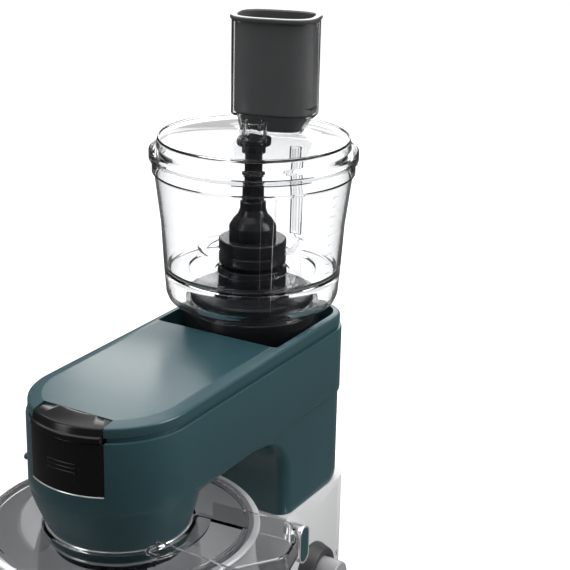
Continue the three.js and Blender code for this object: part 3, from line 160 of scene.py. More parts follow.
LENS = 96.64
LENS_SHIFT = 0.0666
CAMERA_AT = (-1266.98, -768.38, 559.69)
CAMERA_AZIMUTH = math.radians(58.57)
CAMERA_PITCH = math.radians(19.67)
CAMERA_ROLL = math.radians(0.73)


def place(point):
    return ORIGIN + Vector(point) * MM


def make_camera():
    """The view of the picture: turned, pitched and rolled by the angles above."""
    ahead = Vector((math.sin(CAMERA_AZIMUTH) * math.cos(CAMERA_PITCH),
                    math.cos(CAMERA_AZIMUTH) * math.cos(CAMERA_PITCH),
                    -math.sin(CAMERA_PITCH)))
    level = Vector((ahead.y, -ahead.x, 0)).normalized()
    upright = level.cross(ahead)
    right = level * math.cos(CAMERA_ROLL) + upright * math.sin(CAMERA_ROLL)
    up = upright * math.cos(CAMERA_ROLL) - level * math.sin(CAMERA_ROLL)
    data = bpy.data.cameras.new("camera")
    data.lens = LENS
    data.shift_x = LENS_SHIFT
    data.clip_end = 50
    camera = bpy.data.objects.new("camera", data)
    bpy.context.scene.collection.objects.link(camera)
    turn = Matrix((right, up, -ahead)).transposed().to_4x4()
    camera.matrix_world = Matrix.Translation(place(CAMERA_AT)) @ turn
    bpy.context.scene.camera = camera


make_camera()

# ------------------------------------------------------------------ materials


class Shader:
    """A Principled material and short calls that add detail nodes to it."""

    def __init__(self, name, colour, **settings):
        self.material = bpy.data.materials.new(name)
        self.material.use_nodes = True
        self.tree = self.material.node_tree
        self.main = self.tree.nodes["Principled BSDF"]
        self.colour = colour
        self.main.inputs["Base Color"].default_value = (*colour, 1)
        for key, value in settings.items():
            self.main.inputs[key.replace("_", " ").title().replace("Ior", "IOR")].default_value = value

    def coordinates(self, stretch=(1, 1, 1)):
        where = self.tree.nodes.new("ShaderNodeTexCoord")
        mapping = self.tree.nodes.new("ShaderNodeMapping")
        mapping.inputs["Scale"].default_value = stretch
        self.tree.links.new(where.outputs["Object"], mapping.inputs["Vector"])
        return mapping.outputs["Vector"]

    def noise(self, scale, detail=3, stretch=(1, 1, 1)):
        node = self.tree.nodes.new("ShaderNodeTexNoise")
        node.inputs["Scale"].default_value = scale
        node.inputs["Detail"].default_value = detail
        self.tree.links.new(self.coordinates(stretch), node.inputs["Vector"])
        return node.outputs["Fac"]

    def ranged(self, value, low, high):
        node = self.tree.nodes.new("ShaderNodeMapRange")
        node.inputs["From Min"].default_value = 0.3
        node.inputs["From Max"].default_value = 0.7
        node.inputs["To Min"].default_value = low
        node.inputs["To Max"].default_value = high
        self.tree.links.new(value, node.inputs["Value"])
        return node.outputs["Result"]

    def rough(self, value, low, high):
        self.tree.links.new(self.ranged(value, low, high), self.main.inputs["Roughness"])
        return self

    def tint(self, value, low, high):
        """Base colour varies between low and high times the material's colour."""
        mix = self.tree.nodes.new("ShaderNodeMix")
        mix.data_type = "RGBA"
        mix.inputs["A"].default_value = (*[c * low for c in self.colour], 1)
        mix.inputs["B"].default_value = (*[min(c * high, 1) for c in self.colour], 1)
        self.tree.links.new(self.ranged(value, 0, 1), mix.inputs["Factor"])
        self.tree.links.new(mix.outputs["Result"], self.main.inputs["Base Color"])
        return self

    def bump(self, value, height, strength=1.0):
        node = self.tree.nodes.new("ShaderNodeBump")
        node.inputs["Distance"].default_value = height * MM
        node.inputs["Strength"].default_value = strength
        self.tree.links.new(value, node.inputs["Height"])
        self.tree.links.new(node.outputs["Normal"], self.main.inputs["Normal"])
        return self


def plastic(name, colour, roughness, grain=600, height=0.004, spread=0.03, specular=0.5):
    shader = Shader(name, colour, roughness=roughness)
    shader.main.inputs["Specular IOR Level"].default_value = specular
    shader.rough(shader.noise(60), roughness - spread, roughness + spread)
    shader.tint(shader.noise(12, 1), 0.97, 1.03)
    return shader.bump(shader.noise(grain, 2), height).material


def metal(name, colour, roughness, stretch, height=0.01, spread=0.06, metallic=1.0):
    shader = Shader(name, colour, roughness=roughness, metallic=metallic)
    lines = shader.noise(400, 4, stretch)
    shader.rough(lines, roughness - spread, roughness + spread)
    shader.tint(shader.noise(20, 1), 0.97, 1.02)
    return shader.bump(lines, height).material


def clear(name, colour, roughness):
    """Clear plastic that lets the lamps' light through to what is behind it."""
    shader = Shader(name, colour, roughness=roughness, transmission_weight=1.0, ior=1.2)
    shader.rough(shader.noise(40), roughness, roughness + 0.02)
    nodes, links = shader.tree.nodes, shader.tree.links
    passing = nodes.new("ShaderNodeBsdfTransparent")
    passing.inputs["Color"].default_value = (*colour, 1)
    path = nodes.new("ShaderNodeLightPath")
    mix = nodes.new("ShaderNodeMixShader")
    links.new(path.outputs["Is Shadow Ray"], mix.inputs["Fac"])
    links.new(shader.main.outputs["BSDF"], mix.inputs[1])
    links.new(passing.outputs["BSDF"], mix.inputs[2])
    links.new(mix.outputs["Shader"], nodes["Material Output"].inputs["Surface"])
    return shader.bump(shader.noise(12, 1), 0.004).material


TEAL = plastic("teal_shell", (0.024, 0.068, 0.080), 0.3, grain=300, height=0.0004, spread=0.01)
BLACK = plastic("black_gloss", (0.007, 0.007, 0.008), 0.2, grain=200, height=0.0003, spread=0.01,
                specular=0.22)
DARK = plastic("dark_plastic", (0.045, 0.045, 0.047), 0.42)
KNOB_GREY = plastic("knob_plastic", (0.36, 0.36, 0.37), 0.36)
RED = plastic("pointer_red", (0.5, 0.03, 0.04), 0.35)
PRINT = plastic("dial_print", (0.08, 0.08, 0.085), 0.5)
SILVER = plastic("silver_base", (0.74, 0.745, 0.75), 0.33, grain=900, height=0.002)
CHROME = metal("chrome_trim", (0.9, 0.905, 0.91), 0.1, (1, 1, 1), height=0.001, spread=0.03,
               metallic=0.7)
BRUSHED = metal("brushed_bowl", (0.93, 0.93, 0.935), 0.42, (0.04, 0.04, 3), height=0.003,
                metallic=0.45)
STEEL = metal("steel_part", (0.52, 0.52, 0.54), 0.3, (1, 1, 1))
BLADE = metal("blade_steel", (0.5, 0.5, 0.51), 0.2, (0.2, 4, 1))
COPPER = metal("winding_copper", (0.6, 0.27, 0.13), 0.35, (1, 1, 8), height=0.05)
RUBBER = plastic("belt_rubber", (0.018, 0.018, 0.018), 0.7, grain=500, height=0.05)
FOOT = plastic("foot_rubber", (0.025, 0.025, 0.025), 0.75, grain=700, height=0.05)
BOARD = plastic("board_green", (0.04, 0.14, 0.07), 0.5, grain=150, height=0.2)
CLEAR = clear("clear_plastic", (0.88, 0.885, 0.89), 0.0)
SMOKE = clear("smoke_plastic", (0.72, 0.725, 0.73), 0.0)
PUSHER = plastic("pusher_plastic", (0.085, 0.085, 0.086), 0.2, grain=120, height=0.0002, spread=0.01,
                 specular=0.35)

# ------------------------------------------------------------------ mesh helpers


def outline(corners, steps=12):
    """Polygon whose corners (x, y, radius) are rounded; each corner with a radius gives steps + 1 points."""
    points = []
    count = len(corners)
    for i, (x, y, radius) in enumerate(corners):
        here = Vector((x, y))
        if radius <= 0:
            points.append(here)
            continue
        back = (Vector(corners[i - 1][:2]) - here).normalized()
        ahead = (Vector(corners[(i + 1) % count][:2]) - here).normalized()
        half = math.acos(max(-1, min(1, back.dot(ahead)))) / 2
        centre = here + (back + ahead).normalized() * (radius / math.sin(half))
        start = here + back * (radius / math.tan(half)) - centre
        end = here + ahead * (radius / math.tan(half)) - centre
        first = math.atan2(start.y, start.x)
        sweep = (math.atan2(end.y, end.x) - first + math.pi) % (2 * math.pi) - math.pi
        for k in range(steps + 1):
            angle = first + sweep * k / steps
            points.append(centre + Vector((math.cos(angle), math.sin(angle))) * radius)
    return points


def circle(x, y, radius, steps=FINE):
    return [Vector((x + radius * math.cos(a), y + radius * math.sin(a)))
            for a in (2 * math.pi * k / steps for k in range(steps))]


def new_object(name, verts, faces):
    """A mesh object from drawing points in millimetres."""
    mesh = bpy.data.meshes.new(name)
    mesh.from_pydata([place(v) for v in verts], [], faces)
    mesh.validate()
    obj = bpy.data.objects.new(name, mesh)
    bpy.context.scene.collection.objects.link(obj)
    return obj


def outward(obj):
    """Merges double points and turns every face outwards."""
    bm = bmesh.new()
    bm.from_mesh(obj.data)
    bmesh.ops.remove_doubles(bm, verts=bm.verts, dist=1e-6)
    bmesh.ops.recalc_face_normals(bm, faces=bm.faces)
    bm.to_mesh(obj.data)
    bm.free()
    return obj


def loft(name, sections):
    """Skin over sections [(z, points)], capped at both ends."""
    count = len(sections[0][1])
    last = (len(sections) - 1) * count
    verts = [(p.x, p.y, z) for z, points in sections for p in points]
    faces = []
    for below in range(0, last, count):
        above = below + count
        for k in range(count):
            n = (k + 1) % count
            faces.append((below + k, below + n, above + n, above + k))
    faces.append(tuple(reversed(range(count))))
    faces.append(tuple(range(last, last + count)))
    return outward(new_object(name, verts, faces))


def lathe(name, profile, x=0, y=0, steps=FINE, place_as="z", out=0):
    """Turned piece: profile [(r, h)] closed on itself, about Z at (x, y), or about Y ("y": h points to -Y
    from out, centre (x, z=y)), or about X ("x": h is x, centre (y, z))."""
    verts = []
    for k in range(steps):
        angle = 2 * math.pi * k / steps
        cos, sin = math.cos(angle), math.sin(angle)
        for r, h in profile:
            if place_as == "z":
                verts.append((x + r * cos, y + r * sin, h))
            elif place_as == "y":
                verts.append((x + r * cos, out - h, y + r * sin))
            else:
                verts.append((h, x + r * cos, y + r * sin))
    size = len(profile)
    faces = []
    for k in range(steps):
        here = k * size
        after = ((k + 1) % steps) * size
        for j in range(size):
            n = (j + 1) % size
            if profile[j][0] == 0 and profile[n][0] == 0:
                continue
            faces.append((here + j, after + j, after + n, here + n))
    return outward(new_object(name, verts, faces))


def rounded(corners, steps=4):
    """Profile points from corners (r, h) or (r, h, fillet)."""
    full = [(c[0], c[1], c[2] if len(c) > 2 else 0) for c in corners]
    return [(p.x, p.y) for p in outline(full, steps)]


def prism(name, points, low, high):
    return loft(name, [(low, points), (high, points)])


def prism_y(name, points, low, high):
    """Prism along Y over an XZ outline."""
    count = len(points)
    verts = [(p.x, low, p.y) for p in points] + [(p.x, high, p.y) for p in points]
    faces = [(k, (k + 1) % count, count + (k + 1) % count, count + k) for k in range(count)]
    faces.append(tuple(range(count)))
    faces.append(tuple(reversed(range(count, 2 * count))))
    return outward(new_object(name, verts, faces))


def block(name, x0, x1, y0, y1, z0, z1):
    corners = [Vector((x0, y0)), Vector((x1, y0)), Vector((x1, y1)), Vector((x0, y1))]
    return prism(name, corners, z0, z1)


def apply(obj, modifier):
    """Makes the modifier's result the object's own mesh."""
    graph = bpy.context.evaluated_depsgraph_get()
    mesh = bpy.data.meshes.new_from_object(obj.evaluated_get(graph))
    obj.modifiers.clear()
    obj.data = mesh
    return obj


def combine(obj, operation, *others):
    for other in others:
        modifier = obj.modifiers.new("combine", "BOOLEAN")
        modifier.operation = operation
        modifier.solver = "EXACT"
        modifier.object = other
        apply(obj, modifier)
        bpy.data.objects.remove(other)
    return obj


def join(obj, *others):
    return combine(obj, "UNION", *others)


def cut(obj, *others):
    return combine(obj, "DIFFERENCE", *others)


def common(obj, *others):
    return combine(obj, "INTERSECT", *others)


def soften(obj, width, segments=2, angle=40):
    """Small rounded edges, so that corners catch light."""
    modifier = obj.modifiers.new("bevel", "BEVEL")
    modifier.width = width * MM
    modifier.segments = segments
    modifier.limit_method = "ANGLE"
    modifier.angle_limit = math.radians(angle)
    modifier.harden_normals = True
    return apply(obj, modifier)


def finish(obj, material, body, nodes=(), angle=32):
    """Gives the piece its material, its body and the nodes it stands for."""
    obj.data.materials.clear()
    obj.data.materials.append(material)
    obj.data.shade_smooth()
    obj.data.set_sharp_from_angle(angle=math.radians(angle))
    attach(obj, body)
    if nodes:
        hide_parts(*nodes)
    return obj


def from_curve(name, curve):
    """The mesh object that a curve or a text gives."""
    temp = bpy.data.objects.new(name + "_curve", curve)
    bpy.context.scene.collection.objects.link(temp)
    graph = bpy.context.evaluated_depsgraph_get()
    mesh = bpy.data.meshes.new_from_object(temp.evaluated_get(graph))
    bpy.data.objects.remove(temp)
    obj = bpy.data.objects.new(name, mesh)
    bpy.context.scene.collection.objects.link(obj)
    return obj


def bar(name, points, radius, sides=16, taper=None):
    """Round bar along a smooth curve through the points, made from a curve object."""
    curve = bpy.data.curves.new(name, "CURVE")
    curve.dimensions = "3D"
    curve.bevel_depth = radius * MM
    curve.bevel_resolution = sides // 4
    curve.use_fill_caps = True
    spline = curve.splines.new("BEZIER")
    spline.bezier_points.add(len(points) - 1)
    for i, (point, at) in enumerate(zip(spline.bezier_points, points)):
        point.co = place(at)
        point.handle_left_type = "AUTO"
        point.handle_right_type = "AUTO"
        point.radius = taper[i] if taper else 1
    return outward(from_curve(name, curve))

# ------------------------------------------------------------------ head


def head_plan(inset):
    """The head seen from above: round nose, rounded rear corners."""
    half = HEAD_HALF - inset
    rear = REAR_CORNER - inset
    return outline([
        (HEAD_REAR - inset, -half, rear),
        (HEAD_REAR - inset, half, rear),
        (NOSE_X - half, half, half - 0.01),
        (NOSE_X - half, -half, half - 0.01),
    ], 24)


def nose_cone(name, inset, floor):
    """Cone under the nose, from the round plan down to the ring."""
    steps = 14
    sections = []
    for k in range(steps + 1):
        share = k / steps
        radius = HEAD_HALF + (NOSE_RING_R - 0.6 - HEAD_HALF) * share ** 1.35 - inset
        centre = NOSE_X + (NOSE_AXIS_X - NOSE_X) * share
        sections.append((CREASE + (floor - CREASE) * share, circle(centre, 0, radius)))
    sections.reverse()
    return loft(name, sections)


def column_solid(name, inset, foot):
    """Upright column: its front edge follows the arch, and its rear foot rolls about the hinge."""
    half = COLUMN_HALF - inset
    sections = []

    def section(z, front, rear):
        sections.append((z, outline([
            (rear - inset, -half, REAR_CORNER - 4 - inset),
            (rear - inset, half, REAR_CORNER - 4 - inset),
            (front + inset, half, 15 - inset),
            (front + inset, -half, 15 - inset),
        ], 10)))

    steps = 6
    if inset == 0:
        for k in range(steps):
            a = math.pi / 2 * k / steps
            section(HINGE.z - HINGE_R * math.cos(a), COLUMN_FRONT, HINGE.x + HINGE_R * math.sin(a))
    else:
        section(foot, COLUMN_FRONT, COLUMN_REAR)
    arch_x = COLUMN_FRONT - ARCH_R
    arch_z = UNDERSIDE - ARCH_R
    section(HINGE.z, COLUMN_FRONT, COLUMN_REAR)
    arch_steps = 16
    for k in range(arch_steps + 1):
        b = math.pi / 2 * k / arch_steps
        section(arch_z + (ARCH_R + inset) * math.sin(b), arch_x + ARCH_R * math.cos(b), COLUMN_REAR)
    section(CREASE + 2, arch_x - inset, COLUMN_REAR)
    return loft(name, sections)


def head_shell():
    """Side shell with the nose cone and the rear column, hollow, open for the door and the lock button."""
    body = loft("head_skin", [
        (UNDERSIDE, head_plan(8)),
        (UNDERSIDE + 0.5, head_plan(6)),
        (UNDERSIDE + 1.8, head_plan(3.6)),
        (UNDERSIDE + 3.8, head_plan(1.6)),
        (UNDERSIDE + 6, head_plan(0.5)),
        (UNDERSIDE + 8.5, head_plan(0)),
        (SIDE_TOP - 1.6, head_plan(0)),
        (SIDE_TOP - 0.5, head_plan(0.35)),
        (SIDE_TOP, head_plan(1.4)),
    ])
    join(body, nose_cone("cone", 0, NOSE_FLOOR), column_solid("column", 0, COLUMN_BOTTOM))
    room = loft("room", [
        (UNDERSIDE + WALL, head_plan(8 + WALL)),
        (UNDERSIDE + 8, head_plan(WALL)),
        (SIDE_TOP + 1, head_plan(WALL)),
    ])
    cut(body, room, nose_cone("cone_room", WALL, NOSE_FLOOR + WALL))
    cut(body, column_solid("column_room", WALL, COLUMN_BOTTOM - 1))
    cut(body, prism("hole", circle(NOSE_AXIS_X, 0, NOSE_HOLE_R), NOSE_FLOOR - 1, NOSE_FLOOR + 5))
    cut(body, block("doorway", AHEAD, DOORWAY_BACK, -DOOR_HALF - SEAM, DOOR_HALF + SEAM,
                    DOOR_BOTTOM - SEAM, SIDE_TOP + 1))
    button = drawn((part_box("lock_button")[0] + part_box("lock_button")[1]) / 2)
    cut(body, lathe("button_hole", [(0, -95), (4, -95), (4, -60), (0, -60)], button.x, button.z, 24, "y"))
    finish(body, TEAL, "head", ["head_shell"])


def recess_plan(inset):
    """The rear recess seen from above."""
    return outline([
        (RECESS_FRONT + inset, -RECESS_HALF + inset, 6 - inset),
        (RECESS_REAR - inset, -RECESS_HALF + inset, REAR_CORNER - 8 - inset),
        (RECESS_REAR - inset, RECESS_HALF - inset, REAR_CORNER - 8 - inset),
        (RECESS_FRONT + inset, RECESS_HALF - inset, 6 - inset),
    ], 12)


def top_cover():
    """Top panel with its rolled edge, the skirt of the recess, and the lip inside the side shell."""
    cover = loft("top_panel", [
        (COVER_BOTTOM, head_plan(2)),
        (-4.6, head_plan(2)),
        (-3.5, head_plan(2.25)),
        (-2.6, head_plan(3)),
        (-1.9, head_plan(4.6)),
        (-0.45, head_plan(13)),
        (-0.12, head_plan(14.2)),
        (0, head_plan(15.6)),
    ])
    under = loft("under", [
        (COVER_BOTTOM - 1, head_plan(4.5)),
        (-4.5, head_plan(4.5)),
        (-2.8, head_plan(15)),
    ])
    cut(cover, under)
    join(cover, prism("skirt", recess_plan(-2.5), RECESS_FLOOR + SEAM, -2))
    mouth = loft("mouth", [
        (RECESS_FLOOR - 5, recess_plan(0)),
        (-1.4, recess_plan(0)),
        (-0.5, recess_plan(-0.3)),
        (0.05, recess_plan(-1.2)),
        (3, recess_plan(-1.2)),
    ])
    cut(cover, mouth)
    cut(cover, block("notch", AHEAD, CAP_BACK + SEAM / 2, -CAP_HALF - SEAM, CAP_HALF + SEAM, -20, 5))
    lip = loft("cover_lip", [(-19, head_plan(3.6)), (-6, head_plan(3.6))])
    cut(lip, loft("lip_room", [(-20, head_plan(5.6)), (-5, head_plan(5.6))]))
    cut(lip, block("lip_notch", AHEAD, CAP_BACK + 2, -CAP_HALF - 2, CAP_HALF + 2, -30, 5))
    cut(lip, prism("lip_recess", recess_plan(0), -40, 5))
    finish(lip, TEAL, "head")
    finish(cover, TEAL, "head", ["top_cover"])


def front_cap():
    """Glossy cap over the front edge of the top panel."""
    lip = HEAD_HALF + 2
    profile = rounded([
        (40, -0.1), (56, -0.1, 12), (77.6, -2.6, 3), (HEAD_HALF - 0.2, -9.6, 0.5), (lip, -10.6, 0.8),
        (lip, -15.4, 0.8), (HEAD_HALF - WALL, -15.4), (HEAD_HALF - WALL, -7), (70, -4), (40, -3.4),
    ])
    cap = lathe("front_cap_skin", profile, NOSE_X, 0, 2 * FINE)
    common(cap, block("cap_window", AHEAD, CAP_BACK - SEAM / 2, -CAP_HALF, CAP_HALF, -20, 5))
    soften(cap, 0.5)
    finish(cap, BLACK, "head", ["front_cap"])


def doorway_band(name, profile, left, right):
    """A piece turned about the nose, from left to right in the doorway."""
    band = lathe(name, rounded(profile), NOSE_X, 0, 2 * FINE)
    return common(band, block("window", AHEAD, DOORWAY_BACK, left, right, -80, 0))


def front_door():
    """Curved door of the front outlet, its three ribs, and a bright chrome strip under it: a painted highlight
    standing in for the lit edge under the door.
    """
    door = doorway_band("front_door_skin", [
        (HEAD_HALF - 2.6, DOOR_BOTTOM), (HEAD_HALF + 0.2, DOOR_BOTTOM, 0.6), (HEAD_HALF + 0.2, DOOR_TOP, 0.6),
        (HEAD_HALF - 2.6, DOOR_TOP),
    ], -DOOR_HALF, DOOR_HALF)
    for z in (-38.5, -42.5, -46.5):
        rib = doorway_band("rib", [
            (HEAD_HALF - 1, z - 0.9), (HEAD_HALF + 1, z - 0.9, 0.7), (HEAD_HALF + 1, z + 0.9, 0.7),
            (HEAD_HALF - 1, z + 0.9),
        ], -16, 15)
        finish(rib, BLACK, "front_door")
    finish(door, BLACK, "front_door", ["front_door"])
    # painted highlight: the bright chrome strip under the door stands in for the lit edge there
    highlight_strip = doorway_band("door_highlight_strip", [
        (HEAD_HALF - 2.4, DOOR_BOTTOM - 1.8), (HEAD_HALF + 0.5, DOOR_BOTTOM - 1.8, 0.5),
        (HEAD_HALF + 0.5, DOOR_BOTTOM - 0.5, 0.5), (HEAD_HALF - 2.4, DOOR_BOTTOM - 0.5),
    ], -DOOR_HALF, DOOR_HALF)
    finish(highlight_strip, CHROME, "head")


def nose_rings():
    for name, radius, top, bottom in (
        ("nose_ring_upper", NOSE_RING_R, -131.4, -135.6),
        ("nose_ring_lower", 66.4, -144.4, -147),
    ):
        fillet = (top - bottom) / 2 - 0.1
        ring = lathe(name + "_skin", rounded([
            (NOSE_HOLE_R, bottom), (radius, bottom, fillet), (radius, top, fillet), (NOSE_HOLE_R, top),
        ], 6), NOSE_AXIS_X, 0)
        finish(ring, CHROME, "head", [name])
    band = lathe("nose_band_skin", rounded([
        (NOSE_HOLE_R, -144), (65.5, -144, 0.6), (65.8, -136, 0.6), (NOSE_HOLE_R, -136),
    ]), NOSE_AXIS_X, 0)
    finish(band, TEAL, "head", ["nose_band"])


def outlet_well():
    """Floor of the recess, with the outlet's collar, three lugs and two ridges."""
    well = prism("well_floor", recess_plan(SEAM), RECESS_FLOOR - WALL, RECESS_FLOOR)
    join(well, lathe("collar", rounded([
        (13, RECESS_FLOOR - 1), (18, RECESS_FLOOR - 1), (18, RECESS_FLOOR + 14, 1.2),
        (13, RECESS_FLOOR + 14, 0.6),
    ])))
    for k in range(3):
        angle = math.pi / 3 + 2 * math.pi * k / 3
        join(well, prism("lug", circle(50 * math.cos(angle), 50 * math.sin(angle), 4, 24),
                         RECESS_FLOOR - 1, RECESS_FLOOR + 6))
    for radius in (27, 60):
        join(well, lathe("ridge", [
            (radius, RECESS_FLOOR - 0.5), (radius + 1.5, RECESS_FLOOR - 0.5),
            (radius + 1.2, RECESS_FLOOR + 1), (radius + 0.3, RECESS_FLOOR + 1),
        ]))
    cut(well, prism("well_hole", circle(0, 0, 14), RECESS_FLOOR - 10, RECESS_FLOOR + 20))
    finish(well, BLACK, "head", ["outlet_well"])


def lock_button():
    low, high = extent("lock_button")
    button = lathe("lock_button_cap", rounded([
        (0, low.y), (3.5, low.y), (3.5, high.y, 1.2), (0, high.y),
    ]), (low.x + high.x) / 2, (low.z + high.z) / 2, 48, "y")
    for vertex in button.data.vertices:
        vertex.co.y = 2 * ORIGIN.y - vertex.co.y
    outward(button)
    finish(button, TEAL, "lock_button", ["lock_button"])

# ------------------------------------------------------------------ nose tool


def tool():
    """Socket under the carrier, and the dough hook in it."""
    hub_low = -178
    socket = lathe("tool_socket_skin", rounded([
        (0, hub_low + 16), (4.6, hub_low + 16), (4.6, hub_low), (12, hub_low, 2), (17, hub_low + 4, 2),
        (18, -158.5, 1), (7, -158.5), (7, -136.5), (0, -136.5),
    ]), TOOL.x, TOOL.y, 64)
    finish(socket, BLACK, "tool", ["tool_socket"])
    hook = bar("dough_hook_bar", [
        (TOOL.x, TOOL.y, hub_low + 15), (TOOL.x, TOOL.y, hub_low - 3), (TOOL.x, TOOL.y, hub_low - 12),
        (TOOL.x - 4, TOOL.y - 14, hub_low - 28), (TOOL.x - 26, TOOL.y - 16, hub_low - 48),
        (TOOL.x - 30, TOOL.y + 12, hub_low - 68), (TOOL.x - 6, TOOL.y + 24, hub_low - 84),
        (TOOL.x + 12, TOOL.y + 6, hub_low - 96),
    ], 4, 24, [1, 1, 1, 1, 1, 1, 0.95, 0.75])
    finish(hook, STEEL, "tool", ["dough_hook"], 60)


def planet_carrier():
    top = -148
    low = top - 10
    disc = lathe("planet_carrier_skin", rounded([
        (8.3, top), (62.5, top, 0.5), (61, low + 3, 1), (56, low, 2), (24, low), (22, low + 1.5, 0.5),
        (8.3, low + 1.5),
    ]), NOSE_AXIS_X, 0)
    cut(disc, prism("carrier_bore", circle(TOOL.x, TOOL.y, 7.5, 48), low - 2, top + 2))
    finish(disc, BLACK, "carrier", ["planet_carrier"])

# ------------------------------------------------------------------ base


def base_plan(inset):
    """The base seen from above."""
    half = BASE_HALF - inset
    return outline([
        (BASE_REAR - inset, -half, REAR_CORNER - 4 - inset),
        (BASE_REAR - inset, half, REAR_CORNER - 4 - inset),
        (BASE_FRONT + inset, half, half - 0.01),
        (BASE_FRONT + inset, -half, half - 0.01),
    ], 24)


def base_side(inset, bottom):
    """Side profile: column foot with a leaning back, shelf, curve down to the deck, rounded front edge."""
    top = COLUMN_BOTTOM - 0.6 - inset
    outside = inset == 0
    return outline([
        (BASE_REAR - inset, bottom, 4 if outside else 0),
        (COLUMN_REAR + 1 - inset, top, 2 if outside else 0),
        (COLUMN_FRONT + inset, top, 2 if outside else 0),
        (COLUMN_FRONT + inset, SHELF_Z - inset, 5 if outside else 0),
        (SHELF_X + inset, SHELF_Z - inset, 14 if outside else 0),
        (SHELF_X - 18 + inset, DECK - inset, 30 if outside else 0),
        (BASE_FRONT + 6 + inset, DECK - inset, 10 if outside else 0),
        (BASE_FRONT + inset, bottom, 4 if outside else 0),
    ], 10)


def drill(body, x, z, radius):
    """A round hole through the base's near wall."""
    cut(body, lathe("hole", [(0, -10), (radius, -10), (radius, 10), (0, 10)], x, z, 24, "y", -BASE_HALF))


def slot_room(front, rear, node):
    """Room in the base's top for the named node, from front to rear and 1 mm wider than it."""
    low, high = extent(node)
    return block("slot", front, rear, low.y - 1, high.y + 1, COLUMN_BOTTOM - 8, COLUMN_BOTTOM + 2)


def base_housing():
    """Hollow base with slots for the hinge and the latch, and holes for the controls and the cord gland."""
    body = prism_y("base_skin", base_side(0, BASE_BOTTOM), -BASE_HALF, BASE_HALF)
    common(body, prism("base_plan", base_plan(0), BASE_BOTTOM - 1, COLUMN_BOTTOM + 1))
    soften(body, 2.4, 4, 50)
    room = prism_y("base_room", base_side(WALL, BASE_BOTTOM - 1), -BASE_HALF + WALL, BASE_HALF - WALL)
    common(room, prism("room_plan", base_plan(WALL), BASE_BOTTOM - 2, COLUMN_BOTTOM))
    cut(body, room)
    for node in ("hinge_bracket_left", "hinge_bracket_right"):
        low, high = extent(node)
        cut(body, slot_room(low.x - 3, high.x + 2.2, node))
    cut(body, slot_room(COLUMN_FRONT + 3.5, COLUMN_FRONT + 31, "latch_hook"))
    drill(body, KNOB.x, KNOB.z, 4.5)
    drill(body, LEVER.x, LEVER.z, 3.5)
    low, high = extent("cord_gland")
    cut(body, lathe("gland_hole", [(0, 60), (7, 60), (7, 100), (0, 100)],
                    (low.y + high.y) / 2, (low.z + high.z) / 2, 32, "x"))
    finish(body, SILVER, "base", ["base_housing"], 40)


def bowl_seat():
    seat = lathe("bowl_seat_ring", rounded([
        (30, DECK + 0.4), (68, DECK + 0.4), (68, DECK + 4, 1), (66, DECK + 5, 1), (57.5, DECK + 5, 0.6),
        (57.5, DECK + 1.6), (30, DECK + 1.6),
    ]), NOSE_AXIS_X, 0)
    finish(seat, BLACK, "base", ["bowl_seat"])


def controls():
    """Dial ring and speed knob."""
    bezel = lathe("dial_ring", rounded([
        (30, 0.4), (30, 3, 1), (26, 15, 1.6), (19.5, 15, 1), (18, 13), (18, 0.4),
    ]), KNOB.x, KNOB.z, FINE, "y", -BASE_HALF)
    finish(bezel, DARK, "base", ["dial_bezel"])
    knob = lathe("speed_knob_cap", rounded([
        (0, -12), (4, -12), (4, 1), (17.5, 1, 0.6), (16.9, 36, 2.2), (13, 35.4, 1), (0, 35.4),
    ], 6), KNOB.x, KNOB.z, FINE, "y", -BASE_HALF)
    cut(knob, pointer_block("pointer_room", 0.3))
    finish(knob, KNOB_GREY, "speed_knob", ["speed_knob"])
    dial_marks()


def pointer_block(name, grow):
    """The pointer's own block, grown by a margin, for the room it sits in."""
    low, high = extent("knob_pointer")
    middle = (low + high) / 2
    lean = math.radians(POINTER_LEAN)
    along = Vector((math.cos(lean), 0, math.sin(lean)))
    across = Vector((-along.z, 0, along.x))
    half_long, half_wide = 4.5 + grow, 1.0 + grow
    verts = []
    for y in (low.y - grow, high.y + grow):
        for a, b in ((-1, -1), (1, -1), (1, 1), (-1, 1)):
            at = middle + along * (a * half_long) + across * (b * half_wide)
            verts.append((at.x, y, at.z))
    faces = [(0, 1, 2, 3), (4, 5, 6, 7), (0, 1, 5, 4), (1, 2, 6, 5), (2, 3, 7, 6), (3, 0, 4, 7)]
    return outward(new_object(name, verts, faces))


def dial_marks():
    """Plain generic numbers printed round the dial ring."""
    face = -BASE_HALF - 0.08
    last = 5
    for number in range(last + 1):
        share = number / last
        angle = math.radians(DIAL_START + DIAL_SWEEP * share)
        radius = 50 + 9 * share - 14 * math.sin(math.pi * share)
        mark = bpy.data.curves.new(f"dial_{number}", "FONT")
        mark.body = str(number)
        mark.size = 9 * MM
        mark.align_x = "CENTER"
        mark.align_y = "CENTER"
        mark.extrude = 0.05 * MM
        digit = from_curve(f"dial_{number}", mark)
        at = place((KNOB.x + radius * math.cos(angle), face, KNOB.z + radius * math.sin(angle)))
        digit.data.transform(Matrix.Translation(at) @ Matrix.Rotation(math.pi / 2, 4, "X"))
        finish(digit, PRINT, "base")


def paddle_plan(inset):
    """The lever's face: a long shape with round ends."""
    half = (LEVER_RIGHT - LEVER_LEFT) / 2 - inset
    return outline([
        (LEVER_LEFT + inset, LEVER_LOW + inset, half), (LEVER_RIGHT - inset, LEVER_LOW + inset, half),
        (LEVER_RIGHT - inset, LEVER_HIGH - inset, half), (LEVER_LEFT + inset, LEVER_HIGH - inset, half),
    ], 12)


